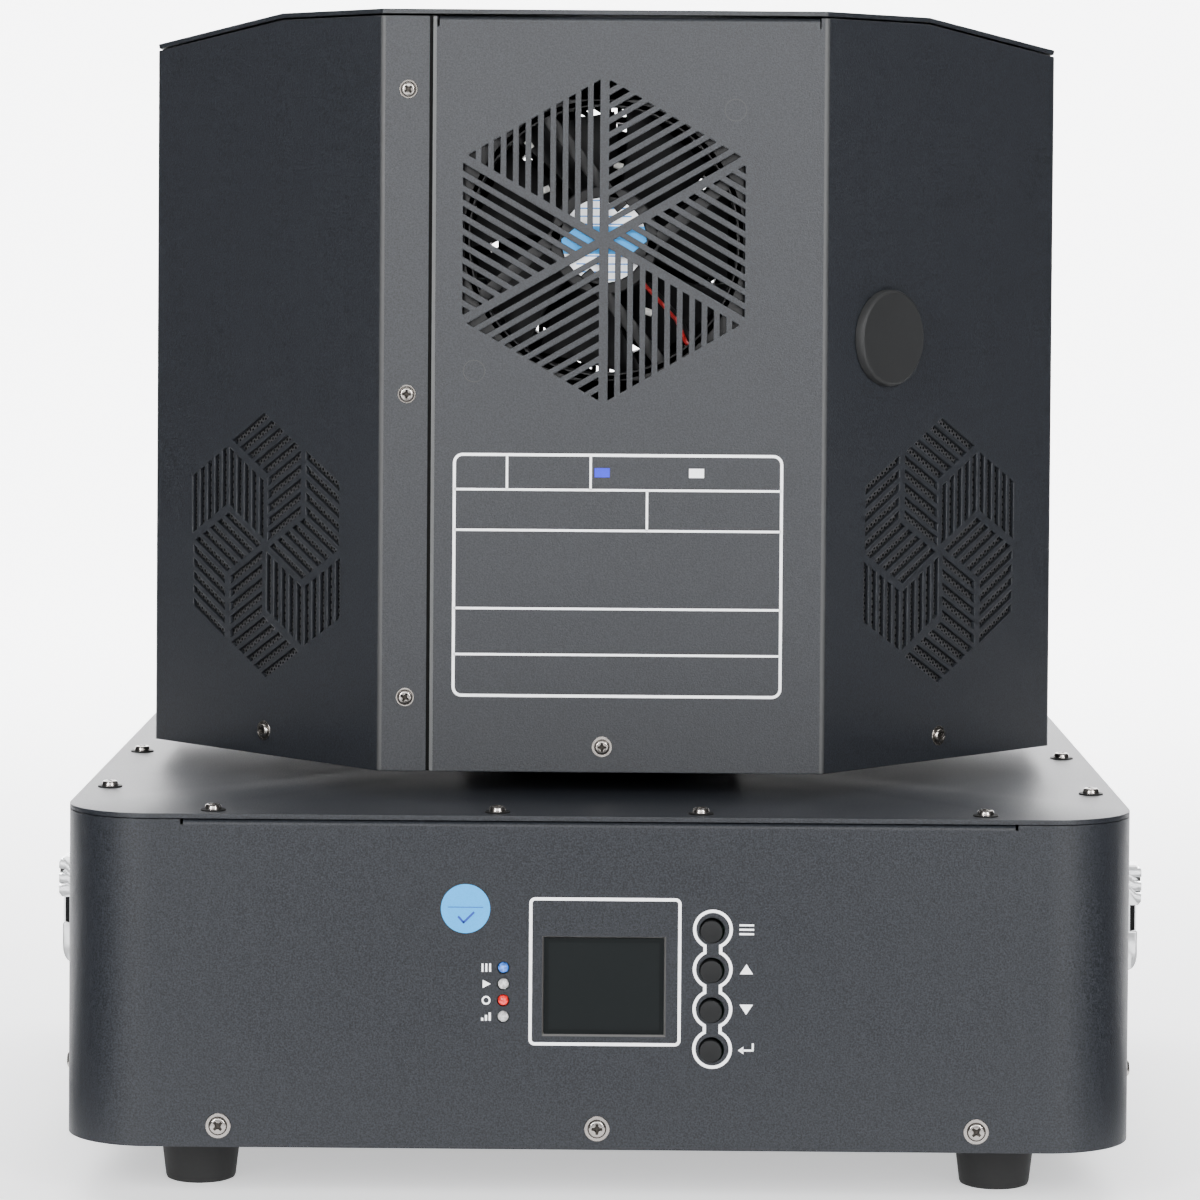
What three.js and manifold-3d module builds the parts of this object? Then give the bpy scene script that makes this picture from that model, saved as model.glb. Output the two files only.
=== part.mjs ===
// A cold spark machine with a turning head: a square base on rubber feet, a turntable, and an
// eight sided head of folded sheet that holds two fans, two feed units and two spark nozzles.
// Millimetres, +Z up. The origin is on the floor, on the axis that the head turns about.
// The front, with the display, looks along -Y, and +X is to the right of someone facing it.

import * as THREE from "three";
import { mergeGeometries, mergeVertices } from "three/addons/utils/BufferGeometryUtils.js";
import Module from "manifold-3d";

const wasm = await Module();
wasm.setup();

// Whole machine
const machineHeight = 382;
const sheet = 1.5;
const seatGap = 0.3;
const runGap = 0.4;
const overrun = 2;
const weldStep = 0.0002;

// Base: feet, tray, wrapped shell and lid
const footHeight = 18.5;
const footTopRadius = 12.5;
const footBottomRadius = 10.7;
const footRecessRadius = 4.5;
const footRecessDepth = 5;
const footInset = 41.5;
const baseSide = 342;
const baseHeight = 106;
const baseCornerRadius = 28.5;
const trayDepth = 14;
const foldReach = 12;
const foldRadius = 2.2;
const foldDrop = 0.8;
const foldInset = 39.6;
const notchWidth = 1.2;
const notchDepth = 3.4;
const joinDepth = 1;
const ventLength = 44;
const ventWidth = 5;
const ventPitch = 12;

// Display, buttons and lamps on the base front, heights counted from the shell's lower edge
const displayX = 1.9;
const displayHeight = 52.05;
const displayWidth = 38.6;
const displayTall = 31.2;
const displayLip = 2.4;
const displayInset = 0.6;
const buttonX = 36.3;
const buttonTopHeight = 70.5;
const buttonPitch = 12.67;
const buttonRadius = 3.7;
const buttonStand = 1.2;
const buttonFlange = 1.1;
const buttonFlangeThickness = 1;
const buttonTravel = 1.5;
const lampX = -30;
const lampTopHeight = 57.8;
const lampPitch = 5.19;
const lampRadius = 1.75;
const lampStand = 0.7;
const lampCollar = 0.45;
const boardGap = 7.5;
const boardThickness = 1.6;
const boardLeft = -63;
const boardRight = 59;
const boardBottomHeight = 23.2;
const boardTopHeight = 78.3;
const studRadius = 2.6;
const studInset = 5;

// Sockets and switch on the base back, heights counted from the shell's lower edge
const socketHeight = 54;
const socketPlateWidth = 26;
const socketPlateTall = 31;
const socketPlateThickness = 2;
const socketCornerRadius = 3;
const socketBarrelRadius = 11.8;
const socketBarrelLength = 24;
const mainsBoreRadius = 9;
const signalBoreRadius = 9.3;
const socketBoreDepth = 18;
const pinRadius = 1.2;
const pinCircleRadius = 4.6;
const pinLength = 9;
const contactRadius = 1.3;
const contactDepth = 9;
const socketFaceDepth = 1;
const mainsInInset = 53;
const mainsOutInset = 91;
const fuseInset = 121;
const switchInset = 153;
const signalInInset = 93;
const signalOutInset = 55;
const fuseRadius = 6;
const fuseCapRadius = 8.5;
const fuseCapThickness = 2.2;
const fuseLength = 30;
const fuseSlotWidth = 1.6;
const fuseSlotDepth = 1;
const switchWidth = 22;
const switchTall = 28;
const switchRim = 2;
const switchRimThickness = 1.8;
const switchWall = 1.6;
const switchDepth = 19;
const rockerWellDepth = 8;
const rockerPivotDepth = 1.2;
const rockerEdge = 2.8;
const rockerDip = 1.2;
const rockerKeel = 4.6;
const rockerPinRadius = 1.3;
const rockerPinLength = 0.9;

// Carrying handles on the base sides
const handleHeight = 72.2;
const handleLength = 164;
const handlePlateTall = 14.2;
const handlePlateThickness = 1.5;
const knuckleDepth = 11;
const knuckleTall = 13.6;
const knuckleCornerRadius = 3.4;
const knuckleLength = 9;
const handleAxisInset = 3.7;
const bailWireRadius = 2.6;
const bailDrop = 23.7;
const bailKnee = 3.6;
const gripTall = 13.6;
const gripCornerRadius = 3.4;
const gripThickness = 7.4;
const gripInset = 9;

// Inside the base
const supplyWallGap = 19.5;
const supplyNeckGap = 22;
const supplyLength = 190;
const supplyHeight = 42;
const supplyY = 20;
const supplyCorner = 3;
const terminalDepth = 18;
const terminalStep = 16;
const bearingHeight = 18;
const bearingOuterRadius = 56;
const bearingSplitRadius = 45;
const neckRadius = 30;
const columnFlangeRadius = 50;
const spigotRadius = 22;
const slipRotorRadius = 11;
const slipRotorInset = 10;
const slipStatorWall = 7;
const slipStatorReach = 32;
const slipStatorFloor = 6;
const slipStatorFootRadius = 30;
const slipStatorFootThickness = 3;
const gearModule = 2.5;
const gearDrop = 4;
const gearThickness = 10;
const gearBacklash = 0.9;
const gearRootGap = 0.9;
const motorSide = 42;
const motorHeight = 40;
const motorCorner = 5;
const motorBossRadius = 11;
const motorBossHeight = 1.8;
const motorShaftRadius = 2.5;
const motorShaftDepth = 14;
const pinionHubRadius = 8;
const pinionHubHeight = 4;
const bracketMargin = 7;
const bracketFoot = 16;
const bracketDrop = 6;

// Head: an octagon with long slanted facets, and a top plate with two wings folded down
const headGap = 7.8;
const headWidth = 310;
const headDepth = 242.6;
const headFrontWidth = 145.4;
const headSideWidth = 73.6;
const headBendRadius = 2.2;
const headPlateThickness = 2;
const headHoleRadius = 20;
const wingWidth = 46.6;
const stripWidth = 16;
const seamGap = 1;
const tongueInset = 3;
const tongueRoom = 3;

// Fan grille: six sectors of slots, each parallel to one spoke of a hexagon
const fanDrop = 75.2;
const fanGrilleRadius = 53.3;
const fanSpoke = 3.05;
const fanSlot = 2.12;
const fanSlotPitch = 4.06;

// Facet grille: a hexagon of twelve rhombi with five slots each
const facetGrilleHeight = 70.7;
const facetGrilleRadius = 45.9;
const facetRib = 1.4;
const facetBar = 1.55;
const screenThickness = 0.8;
const screenMargin = 4;

// Fans
const fanSide = 92;
const fanDepth = 25;
const fanCorner = 6;
const fanWall = 2;
const fanHubRadius = 18;
const fanHubThickness = 4;
const fanStrutWidth = 4.4;
const fanStrutThickness = 3;
const fanStrutOffset = 9;
const rotorHubRadius = 17.5;
const rotorTipGap = 1.2;
const rotorBackGap = 2;
const rotorShaftRadius = 1.6;
const bladeChord = 22;
const bladeThickness = 1.5;

// Filler ports on two facets
const portRise = 72;
const portRadius = 13;
const plugFlangeRadius = 16;
const plugFlangeThickness = 3;
const plugChamfer = 0.8;
const plugReach = 9;
const plugWall = 2.2;

// Nozzles and heater chambers
const nozzleFlangeMargin = 3.5;
const nozzleFlangeThickness = 2.5;
const nozzleTubeRadius = 15;
const nozzleStand = 0.6;
const nozzleMouthRadius = 12.6;
const nozzleMouthDepth = 4;
const chamberBoreRadius = 10;
const chamberRadius = 18;
const chamberFlangeThickness = 3;
const chamberTail = 13;
const airSpigotRadius = 6;
const airBoreRadius = 3.6;
const airSpigotLength = 8;

// Hoppers, feed screws and feed motors
const hopperWall = 1.6;
const hopperRim = 4;
const outletStart = 30;
const outletLength = 32;
const feedDrop = 59;
const screwTubeRadius = 11;
const screwBoreRadius = 8.6;
const screwShaftRadius = 3;
const screwFlightThickness = 1.4;
const screwLead = 16;
const screwTipInset = 14;
const feedMotorRadius = 12;
const feedMotorLength = 36;
const feedMotorShaftDepth = 10;
const feedGearboxInset = 2;
const feedGearboxLength = 12;

// Angles, counts and shares
const wingAngle = THREE.MathUtils.degToRad(10.55);
const rockerTilt = THREE.MathUtils.degToRad(10);
const bladePitchAngle = THREE.MathUtils.degToRad(48);
const toothFlankAngle = THREE.MathUtils.degToRad(22);
const strutAngle = THREE.MathUtils.degToRad(40);
const portShare = 0.258;
const ringTeeth = 36;
const pinionTeeth = 12;
const buttonCount = 4;
const lampCount = 4;
const ventCount = 5;
const bladeCount = 7;
const strutCount = 4;
const facetSlotCount = 5;
const cornerSteps = 8;
const trayCornerSteps = 4;
const bendSteps = 2;
const wireBendSteps = 3;
const roundSides = 24;
const midSides = 16;
const smallSides = 12;
const tinySides = 8;

// Slant and width of a fan blade at the hub and at the tip
const bladeStations = [
  { twistShare: 1, widthShare: 0.62 },
  { twistShare: 0.62, widthShare: 1 },
];

// Corners of each rhombus of the facet grille, in steps of a triangular grid: the first corner,
// the direction that its slots run in and the direction in which they follow each other
const rhombusShares = [
  { from: [-2, 0], run: [0, 2], next: [1, 1] },
  { from: [-1, 1], run: [0, 2], next: [1, -1] },
  { from: [-1, 3], run: [1, 1], next: [1, -1] },
  { from: [0, 0], run: [1, 1], next: [0, 2] },
  { from: [1, 1], run: [1, -1], next: [0, 2] },
  { from: [0, 0], run: [1, -1], next: [1, 1] },
  { from: [0, -2], run: [0, 2], next: [1, -1] },
  { from: [1, -3], run: [0, 2], next: [1, 1] },
  { from: [-1, -3], run: [1, 1], next: [1, -1] },
  { from: [-1, -3], run: [1, 1], next: [0, 2] },
  { from: [-2, -2], run: [1, -1], next: [0, 2] },
  { from: [-2, 0], run: [1, -1], next: [1, 1] },
];

// Levels and places that follow from the sizes above
const shellBottom = footHeight;
const baseTop = footHeight + baseHeight;
const lidBottom = baseTop - sheet;
const shellTop = lidBottom - seatGap;
const baseHalf = baseSide / 2;
const wallInner = baseHalf - sheet;
const mainsInX = baseHalf - mainsInInset;
const mainsOutX = baseHalf - mainsOutInset;
const fuseX = baseHalf - fuseInset;
const switchX = baseHalf - switchInset;
const signalInX = signalInInset - baseHalf;
const signalOutX = signalOutInset - baseHalf;
const supplyWidth = wallInner - supplyWallGap - slipStatorFootRadius - supplyNeckGap;
const supplyX = supplyWallGap + supplyWidth / 2 - wallInner;
const trayTop = shellBottom + sheet;
const headBottom = baseTop + headGap;
const plateBottom = machineHeight - headPlateThickness;
const headShellTop = plateBottom - seatGap;
const frontHalf = headFrontWidth / 2;
const depthHalf = headDepth / 2;
const widthHalf = headWidth / 2;
const sideHalf = headSideWidth / 2;
const facetRun = widthHalf - frontHalf;
const facetFall = depthHalf - sideHalf;
const facetLength = Math.hypot(facetRun, facetFall);
const facetAngle = Math.atan2(facetFall, facetRun);
const wingFoldX = widthHalf - wingWidth;
const nozzleX = widthHalf - wingWidth / 2;
const nozzleZ = machineHeight - (wingWidth / 2) * Math.tan(wingAngle);
const fanZ = machineHeight - fanDrop;
const grilleZ = headBottom + facetGrilleHeight;
const portZ = grilleZ + portRise;
const feedZ = portZ - feedDrop;
const feedX = nozzleX - (nozzleZ - feedZ) * Math.tan(wingAngle);
const columnTop = headBottom - seatGap;
const gearTop = lidBottom - bearingHeight - gearDrop;
const gearBottom = gearTop - gearThickness;
const gearDistance = (gearModule * (ringTeeth + pinionTeeth)) / 2;
const bracketTop = gearBottom - bracketDrop;

// Join and cut

function toSolid(geometry) {
  const bare = geometry.clone();
  bare.deleteAttribute("normal");
  bare.deleteAttribute("uv");
  const merged = mergeVertices(bare, weldStep);
  const corners = merged.index.array;
  const kept = [];
  for (let i = 0; i < corners.length; i += 3) {
    const [a, b, c] = corners.slice(i, i + 3);
    if (a !== b && b !== c && c !== a) kept.push(a, b, c);
  }
  return new wasm.Manifold(
    new wasm.Mesh({
      numProp: 3,
      vertProperties: merged.attributes.position.array,
      triVerts: new Uint32Array(kept),
    }),
  );
}

function fromSolid(solid) {
  const mesh = solid.getMesh();
  const geometry = new THREE.BufferGeometry();
  geometry.setAttribute("position", new THREE.BufferAttribute(mesh.vertProperties, 3));
  geometry.setIndex(new THREE.BufferAttribute(mesh.triVerts, 1));
  return geometry;
}

function joined(...geometries) {
  return fromSolid(geometries.map(toSolid).reduce((all, next) => all.add(next)));
}

function cut(body, ...tools) {
  return fromSolid(tools.map(toSolid).reduce((rest, tool) => rest.subtract(tool), toSolid(body)));
}

function shared(body, other) {
  return fromSolid(toSolid(body).intersect(toSolid(other)));
}

// Basic forms

function outline(points) {
  return new THREE.Shape(points.map(([x, y]) => new THREE.Vector2(x, y)));
}

function rectangle(x0, y0, x1, y1) {
  return outline([
    [x0, y0],
    [x1, y0],
    [x1, y1],
    [x0, y1],
  ]);
}

function roundedRectangle(width, height, radius, steps = cornerSteps) {
  const points = [];
  const centres = [
    [width / 2 - radius, height / 2 - radius],
    [radius - width / 2, height / 2 - radius],
    [radius - width / 2, radius - height / 2],
    [width / 2 - radius, radius - height / 2],
  ];
  centres.forEach(([x, y], quarter) => {
    for (let i = 0; i <= steps; i += 1) {
      const angle = ((quarter + i / steps) * Math.PI) / 2;
      points.push([x + radius * Math.cos(angle), y + radius * Math.sin(angle)]);
    }
  });
  return outline(points);
}

function circlePoints(radius, sides, x = 0, y = 0) {
  return Array.from({ length: sides }, (_, i) => {
    const angle = ((i + 0.5) / sides) * 2 * Math.PI;
    return [x + radius * Math.cos(angle), y + radius * Math.sin(angle)];
  });
}

function prism(shape, bottom, top) {
  const geometry = new THREE.ExtrudeGeometry(shape, { depth: top - bottom, bevelEnabled: false });
  return geometry.translate(0, 0, bottom);
}

function block(x0, x1, y0, y1, z0, z1) {
  return prism(rectangle(x0, y0, x1, y1), z0, z1);
}

function rod(radius, bottom, top, sides = roundSides, x = 0, y = 0) {
  return prism(outline(circlePoints(radius, sides, x, y)), bottom, top);
}

// A profile of [radius, height] points, counted up the outside, turned round the Z axis.
// It starts and ends on the axis, or it closes on itself.
function turned(profile, sides = roundSides) {
  const points = profile.map(([r, z]) => new THREE.Vector2(r, z));
  return new THREE.LatheGeometry(points, sides).rotateX(Math.PI / 2);
}

function ringTurned(profile, sides = roundSides) {
  return turned([...profile, profile[0]], sides);
}

function mirroredY(geometry) {
  const flipped = geometry.index ? geometry.toNonIndexed() : geometry.clone();
  flipped.scale(1, -1, 1);
  const places = flipped.attributes.position;
  for (let i = 0; i < places.count; i += 3) {
    const kept = [places.getX(i + 1), places.getY(i + 1), places.getZ(i + 1)];
    places.setXYZ(i + 1, places.getX(i + 2), places.getY(i + 2), places.getZ(i + 2));
    places.setXYZ(i + 2, ...kept);
  }
  return flipped;
}

// Turns a form drawn lying on XY, thickness up, so that it stands with its drawing facing -Y
function standing(geometry) {
  return geometry.rotateX(Math.PI / 2);
}

// The same, facing +Y as seen from behind
function standingBack(geometry) {
  return geometry.rotateX(Math.PI / 2).rotateZ(Math.PI);
}

function alongX(geometry) {
  return geometry.rotateY(Math.PI / 2);
}

// An outline moved to its left by a distance, with mitred corners
function offsetPath(points, distance, closed = false) {
  const count = points.length;
  return points.map((point, i) => {
    const before = closed || i > 0 ? points[(i + count - 1) % count] : null;
    const after = closed || i < count - 1 ? points[(i + 1) % count] : null;
    const normals = [];
    if (before) normals.push(leftNormal(before, point));
    if (after) normals.push(leftNormal(point, after));
    const x = normals.reduce((sum, n) => sum + n[0], 0);
    const y = normals.reduce((sum, n) => sum + n[1], 0);
    const scale = (distance * normals.length) / (x * x + y * y);
    return [point[0] + x * scale, point[1] + y * scale];
  });
}

function leftNormal(from, to) {
  const x = to[0] - from[0];
  const y = to[1] - from[1];
  const length = Math.hypot(x, y);
  return [-y / length, x / length];
}

// An open outline whose inner corners are rounded like bends in sheet or wire
function bentPath(points, radius, steps = bendSteps) {
  const result = [points[0]];
  for (let i = 1; i < points.length - 1; i += 1) {
    const into = leftNormal(points[i - 1], points[i]);
    const out = leftNormal(points[i], points[i + 1]);
    const turn = Math.atan2(into[0] * out[1] - into[1] * out[0], into[0] * out[0] + into[1] * out[1]);
    const hand = Math.sign(turn) * radius;
    const reach = hand * Math.tan(turn / 2);
    const start = [points[i][0] - into[1] * reach, points[i][1] + into[0] * reach];
    const centre = [start[0] + into[0] * hand, start[1] + into[1] * hand];
    for (let step = 0; step <= steps; step += 1) {
      const angle = (turn * step) / steps;
      const x = into[0] * Math.cos(angle) - into[1] * Math.sin(angle);
      const y = into[0] * Math.sin(angle) + into[1] * Math.cos(angle);
      result.push([centre[0] - hand * x, centre[1] - hand * y]);
    }
  }
  result.push(points[points.length - 1]);
  return result;
}

// A closed form through rings of corners, all rings walked the same way round
function loft(rings) {
  const count = rings[0].length;
  const faces = [];
  for (let ring = 0; ring < rings.length - 1; ring += 1) {
    for (let i = 0; i < count; i += 1) {
      const a = ring * count + i;
      const b = ring * count + ((i + 1) % count);
      faces.push(a, b, b + count, a, b + count, a + count);
    }
  }
  const last = (rings.length - 1) * count;
  for (let i = 1; i < count - 1; i += 1) {
    faces.push(0, i + 1, i, last, last + i, last + i + 1);
  }
  const geometry = new THREE.BufferGeometry();
  geometry.setAttribute("position", new THREE.Float32BufferAttribute(rings.flat(2), 3));
  geometry.setIndex(faces);
  return geometry;
}

function named(name, geometry, colour, roughness, metalness) {
  const material = new THREE.MeshStandardMaterial({ color: colour, roughness, metalness });
  const mesh = new THREE.Mesh(geometry, material);
  mesh.name = name;
  return mesh;
}

function painted(name, geometry) {
  return named(name, geometry, 0x45484d, 0.5, 0.35);
}

function steel(name, geometry) {
  return named(name, geometry, 0xa8abae, 0.35, 0.9);
}

function chromed(name, geometry) {
  return named(name, geometry, 0xe2e4e6, 0.12, 1);
}

function plastic(name, geometry) {
  return named(name, geometry, 0x1b1c1e, 0.6, 0);
}

// Base

function foot() {
  const profile = [
    [0, footRecessDepth],
    [footRecessRadius, footRecessDepth],
    [footRecessRadius, 0],
    [footBottomRadius, 0],
    [footTopRadius, footHeight - seatGap],
    [0, footHeight - seatGap],
  ];
  return turned(profile, midSides);
}

function basePlan(inset, steps = cornerSteps) {
  const side = baseSide - inset * 2;
  return roundedRectangle(side, side, baseCornerRadius - inset, steps);
}

function floorVents() {
  const vents = [];
  for (let i = 0; i < ventCount; i += 1) {
    const y = supplyY + (i - (ventCount - 1) / 2) * ventPitch;
    const x0 = supplyX - ventLength / 2;
    vents.push(block(x0, x0 + ventLength, y, y + ventWidth, shellBottom - overrun, trayTop + overrun));
  }
  return mergeGeometries(vents);
}

function baseTray() {
  const edge = basePlan(sheet + seatGap, trayCornerSteps);
  const room = basePlan(sheet * 2 + seatGap, trayCornerSteps);
  const outside = prism(edge, shellBottom, shellBottom + trayDepth);
  return cut(outside, prism(room, trayTop, shellBottom + trayDepth + overrun), floorVents());
}

// The folded top edge of a wall: it rises, bends through a quarter turn and runs inwards.
// Drawn across the wall, with the outer face at 0 and the wall going inwards with x.
function foldProfile(reach) {
  const points = [[0, 0]];
  const rise = notchDepth + joinDepth - foldDrop;
  for (let step = 0; step <= bendSteps * 2; step += 1) {
    const angle = Math.PI - (step / (bendSteps * 2)) * (Math.PI / 2);
    const x = foldRadius + foldRadius * Math.cos(angle);
    points.push([x, rise - foldRadius + foldRadius * Math.sin(angle)]);
  }
  points.push([reach, rise], [reach, rise - sheet], [sheet, rise - sheet], [sheet, 0]);
  return outline(points.reverse());
}

// A fold along X on the front wall, whose outer face is at the depth y
function frontFold(x0, x1, y, top, reach) {
  const geometry = prism(foldProfile(reach), x0, x1);
  geometry.rotateX(Math.PI / 2).rotateZ(Math.PI / 2);
  return geometry.translate(0, y, top - notchDepth - joinDepth);
}

function baseFoldGap() {
  const half = baseHalf - foldInset + notchWidth;
  const low = shellTop - notchDepth;
  return block(-half, half, -baseHalf - overrun, -wallInner + overrun, low, shellTop + overrun);
}

function controlHoles() {
  const through = [wallInner - overrun, baseHalf + overrun];
  const holes = [];
  const hole = (shape) => holes.push(standing(prism(shape, ...through)));
  const lower = shellBottom + displayHeight - displayTall / 2;
  const left = displayX - displayWidth / 2;
  hole(rectangle(left, lower, left + displayWidth, lower + displayTall));
  for (let i = 0; i < buttonCount; i += 1) {
    const z = shellBottom + buttonTopHeight - i * buttonPitch;
    hole(outline(circlePoints(buttonRadius + runGap, smallSides, buttonX, z)));
  }
  for (let i = 0; i < lampCount; i += 1) {
    const z = shellBottom + lampTopHeight - i * lampPitch;
    hole(outline(circlePoints(lampRadius + seatGap, tinySides, lampX, z)));
  }
  return mergeGeometries(holes);
}

function controlStuds() {
  const places = [
    [boardLeft + studInset, boardBottomHeight + studInset],
    [boardRight - studInset, boardBottomHeight + studInset],
    [boardLeft + studInset, boardTopHeight - studInset],
    [boardRight - studInset, boardTopHeight - studInset],
  ];
  const near = wallInner - boardGap + seatGap;
  const studs = places.map(([x, z]) =>
    standing(rod(studRadius, near, wallInner + joinDepth / 2, tinySides, x, shellBottom + z)),
  );
  return mergeGeometries(studs);
}

function backHoles() {
  const z = shellBottom + socketHeight;
  const through = [wallInner - overrun, baseHalf + overrun];
  const holes = [mainsInX, mainsOutX, signalInX, signalOutX].map((x) =>
    prism(outline(circlePoints(socketBarrelRadius + seatGap, midSides, -x, z)), ...through),
  );
  holes.push(prism(outline(circlePoints(fuseRadius + seatGap, smallSides, -fuseX, z)), ...through));
  const width = switchWidth / 2 + seatGap;
  const tall = switchTall / 2 + seatGap;
  holes.push(prism(rectangle(-switchX - width, z - tall, -switchX + width, z + tall), ...through));
  return mergeGeometries(holes.map(standingBack));
}

function baseShell() {
  const outside = prism(basePlan(0), shellBottom, shellTop);
  const inside = prism(basePlan(sheet), shellBottom - overrun, shellTop + overrun);
  const half = baseHalf - foldInset;
  const gaps = [];
  const folds = [];
  for (let quarter = 0; quarter < 4; quarter += 1) {
    const turn = (quarter * Math.PI) / 2;
    gaps.push(baseFoldGap().rotateZ(turn));
    folds.push(frontFold(-half, half, -baseHalf, shellTop, foldReach).rotateZ(turn));
  }
  const wall = cut(outside, inside, ...gaps, controlHoles(), backHoles());
  return joined(wall, mergeGeometries(folds), controlStuds());
}

function baseLid() {
  const plate = prism(basePlan(0), lidBottom, baseTop);
  return cut(plate, rod(neckRadius + runGap, lidBottom - overrun, baseTop + overrun, roundSides));
}

// Controls on the base front

function displayWindow() {
  const z = shellBottom + displayHeight;
  const glass = [displayWidth / 2 - seatGap, displayTall / 2 - seatGap];
  const body = [displayWidth / 2 + displayLip, displayTall / 2 + displayLip];
  const front = rectangle(displayX - glass[0], z - glass[1], displayX + glass[0], z + glass[1]);
  const back = rectangle(displayX - body[0], z - body[1], displayX + body[0], z + body[1]);
  const face = wallInner - seatGap;
  return joined(
    standing(prism(front, face - joinDepth, baseHalf - displayInset)),
    standing(prism(back, wallInner - boardGap + seatGap, face)),
  );
}

function controlBoard() {
  const plan = rectangle(
    boardLeft,
    shellBottom + boardBottomHeight,
    boardRight,
    shellBottom + boardTopHeight,
  );
  const face = wallInner - boardGap;
  return standing(prism(plan, face - boardThickness, face));
}

// The cap stands out of the wall, and its flange behind the wall keeps it in
function pushButton() {
  const flangeTop = wallInner - seatGap;
  const flangeBottom = flangeTop - buttonFlangeThickness;
  const stemBottom = wallInner - boardGap + buttonTravel + seatGap;
  const capTop = baseHalf + buttonStand;
  return turned(
    [
      [0, stemBottom],
      [buttonRadius / 2, stemBottom],
      [buttonRadius / 2, flangeBottom],
      [buttonRadius + buttonFlange, flangeBottom],
      [buttonRadius + buttonFlange, flangeTop],
      [buttonRadius, flangeTop],
      [buttonRadius, capTop],
      [0, capTop],
    ],
    smallSides,
  );
}

function indicatorLamp() {
  const collarTop = wallInner - seatGap;
  const domeTop = baseHalf + lampStand;
  return turned(
    [
      [0, wallInner - boardGap + seatGap],
      [lampRadius + lampCollar, wallInner - boardGap + seatGap],
      [lampRadius + lampCollar, collarTop],
      [lampRadius, collarTop],
      [lampRadius, baseHalf],
      [lampRadius / 2, domeTop],
      [0, domeTop],
    ],
    tinySides,
  );
}

// Sockets and switch on the base back, drawn with +Z out of the machine

function socketBody(boreRadius, boreDepth) {
  const top = baseHalf + seatGap + socketPlateThickness;
  const plan = roundedRectangle(socketPlateWidth, socketPlateTall, socketCornerRadius, bendSteps);
  const plate = prism(plan, baseHalf + seatGap, top);
  const barrel = rod(socketBarrelRadius, top - socketBarrelLength, top - joinDepth, midSides);
  const bore = rod(boreRadius, top - boreDepth, top + overrun, midSides);
  return cut(joined(plate, barrel), bore);
}

function threeRods(radius, bottom, top) {
  const rods = [0, 1, 2].map((i) => {
    const angle = Math.PI * (0.5 + (i * 2) / 3);
    const place = [pinCircleRadius * Math.cos(angle), pinCircleRadius * Math.sin(angle)];
    return rod(radius, bottom, top, tinySides, ...place);
  });
  return mergeGeometries(rods);
}

function pinSocket() {
  const bottom = baseHalf + seatGap + socketPlateThickness - socketBoreDepth;
  const body = socketBody(signalBoreRadius, socketBoreDepth);
  return joined(body, threeRods(pinRadius, bottom - joinDepth, bottom + pinLength));
}

function holeSocket() {
  const face = baseHalf + seatGap + socketPlateThickness - socketFaceDepth;
  const body = socketBody(signalBoreRadius, socketFaceDepth);
  return cut(body, threeRods(contactRadius, face - contactDepth, face + overrun));
}

function fuseHolder() {
  const seat = baseHalf + seatGap;
  const top = seat + fuseCapThickness;
  const holder = turned(
    [
      [0, top - fuseLength],
      [fuseRadius, top - fuseLength],
      [fuseRadius, seat],
      [fuseCapRadius, seat],
      [fuseCapRadius, top],
      [0, top],
    ],
    smallSides,
  );
  const half = fuseSlotWidth / 2;
  return cut(holder, block(-fuseRadius, fuseRadius, -half, half, top - fuseSlotDepth, top + overrun));
}

function centredBlock(width, tall, bottom, top) {
  return block(-width / 2, width / 2, -tall / 2, tall / 2, bottom, top);
}

function switchHousing() {
  const top = baseHalf + seatGap + switchRimThickness;
  const rim = centredBlock(switchWidth + switchRim * 2, switchTall + switchRim * 2, baseHalf + seatGap, top);
  const body = centredBlock(switchWidth, switchTall, top - switchDepth, top - joinDepth);
  const well = centredBlock(
    switchWidth - switchWall * 2,
    switchTall - switchWall * 2,
    top - rockerWellDepth,
    top + overrun,
  );
  const half = switchWidth / 2 - switchWall + rockerPinLength;
  const pinHole = alongX(rod(rockerPinRadius + runGap / 2, -half, half, smallSides));
  return cut(joined(rim, body), well, pinHole.translate(0, 0, baseHalf + seatGap - rockerPivotDepth));
}

// Drawn with its pivot at the origin, ends up and down along Y, outside along Z
function switchRocker() {
  const width = switchWidth / 2 - switchWall - runGap;
  const tall = Math.hypot(switchTall / 2 - switchWall - runGap, rockerEdge) - rockerEdge / 2;
  const profile = outline([
    [-tall, -rockerDip],
    [0, -rockerKeel],
    [tall, -rockerDip],
    [tall, rockerEdge],
    [0, rockerEdge - rockerDip],
    [-tall, rockerEdge],
  ]);
  const body = prism(profile, -width, width).rotateX(Math.PI / 2).rotateZ(Math.PI / 2);
  const reach = width + rockerPinLength;
  const pins = alongX(rod(rockerPinRadius, -reach, reach, smallSides));
  return joined(body, pins).rotateX(-rockerTilt);
}

// Carrying handle on the right side of the base: a plate with a knuckle at each end, and a bail

const knuckleX = baseHalf + seatGap + knuckleDepth / 2 + seatGap;
const handleAxisX = knuckleX + knuckleDepth / 2 - handleAxisInset;
const handleAxisZ = shellBottom + handleHeight;

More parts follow.
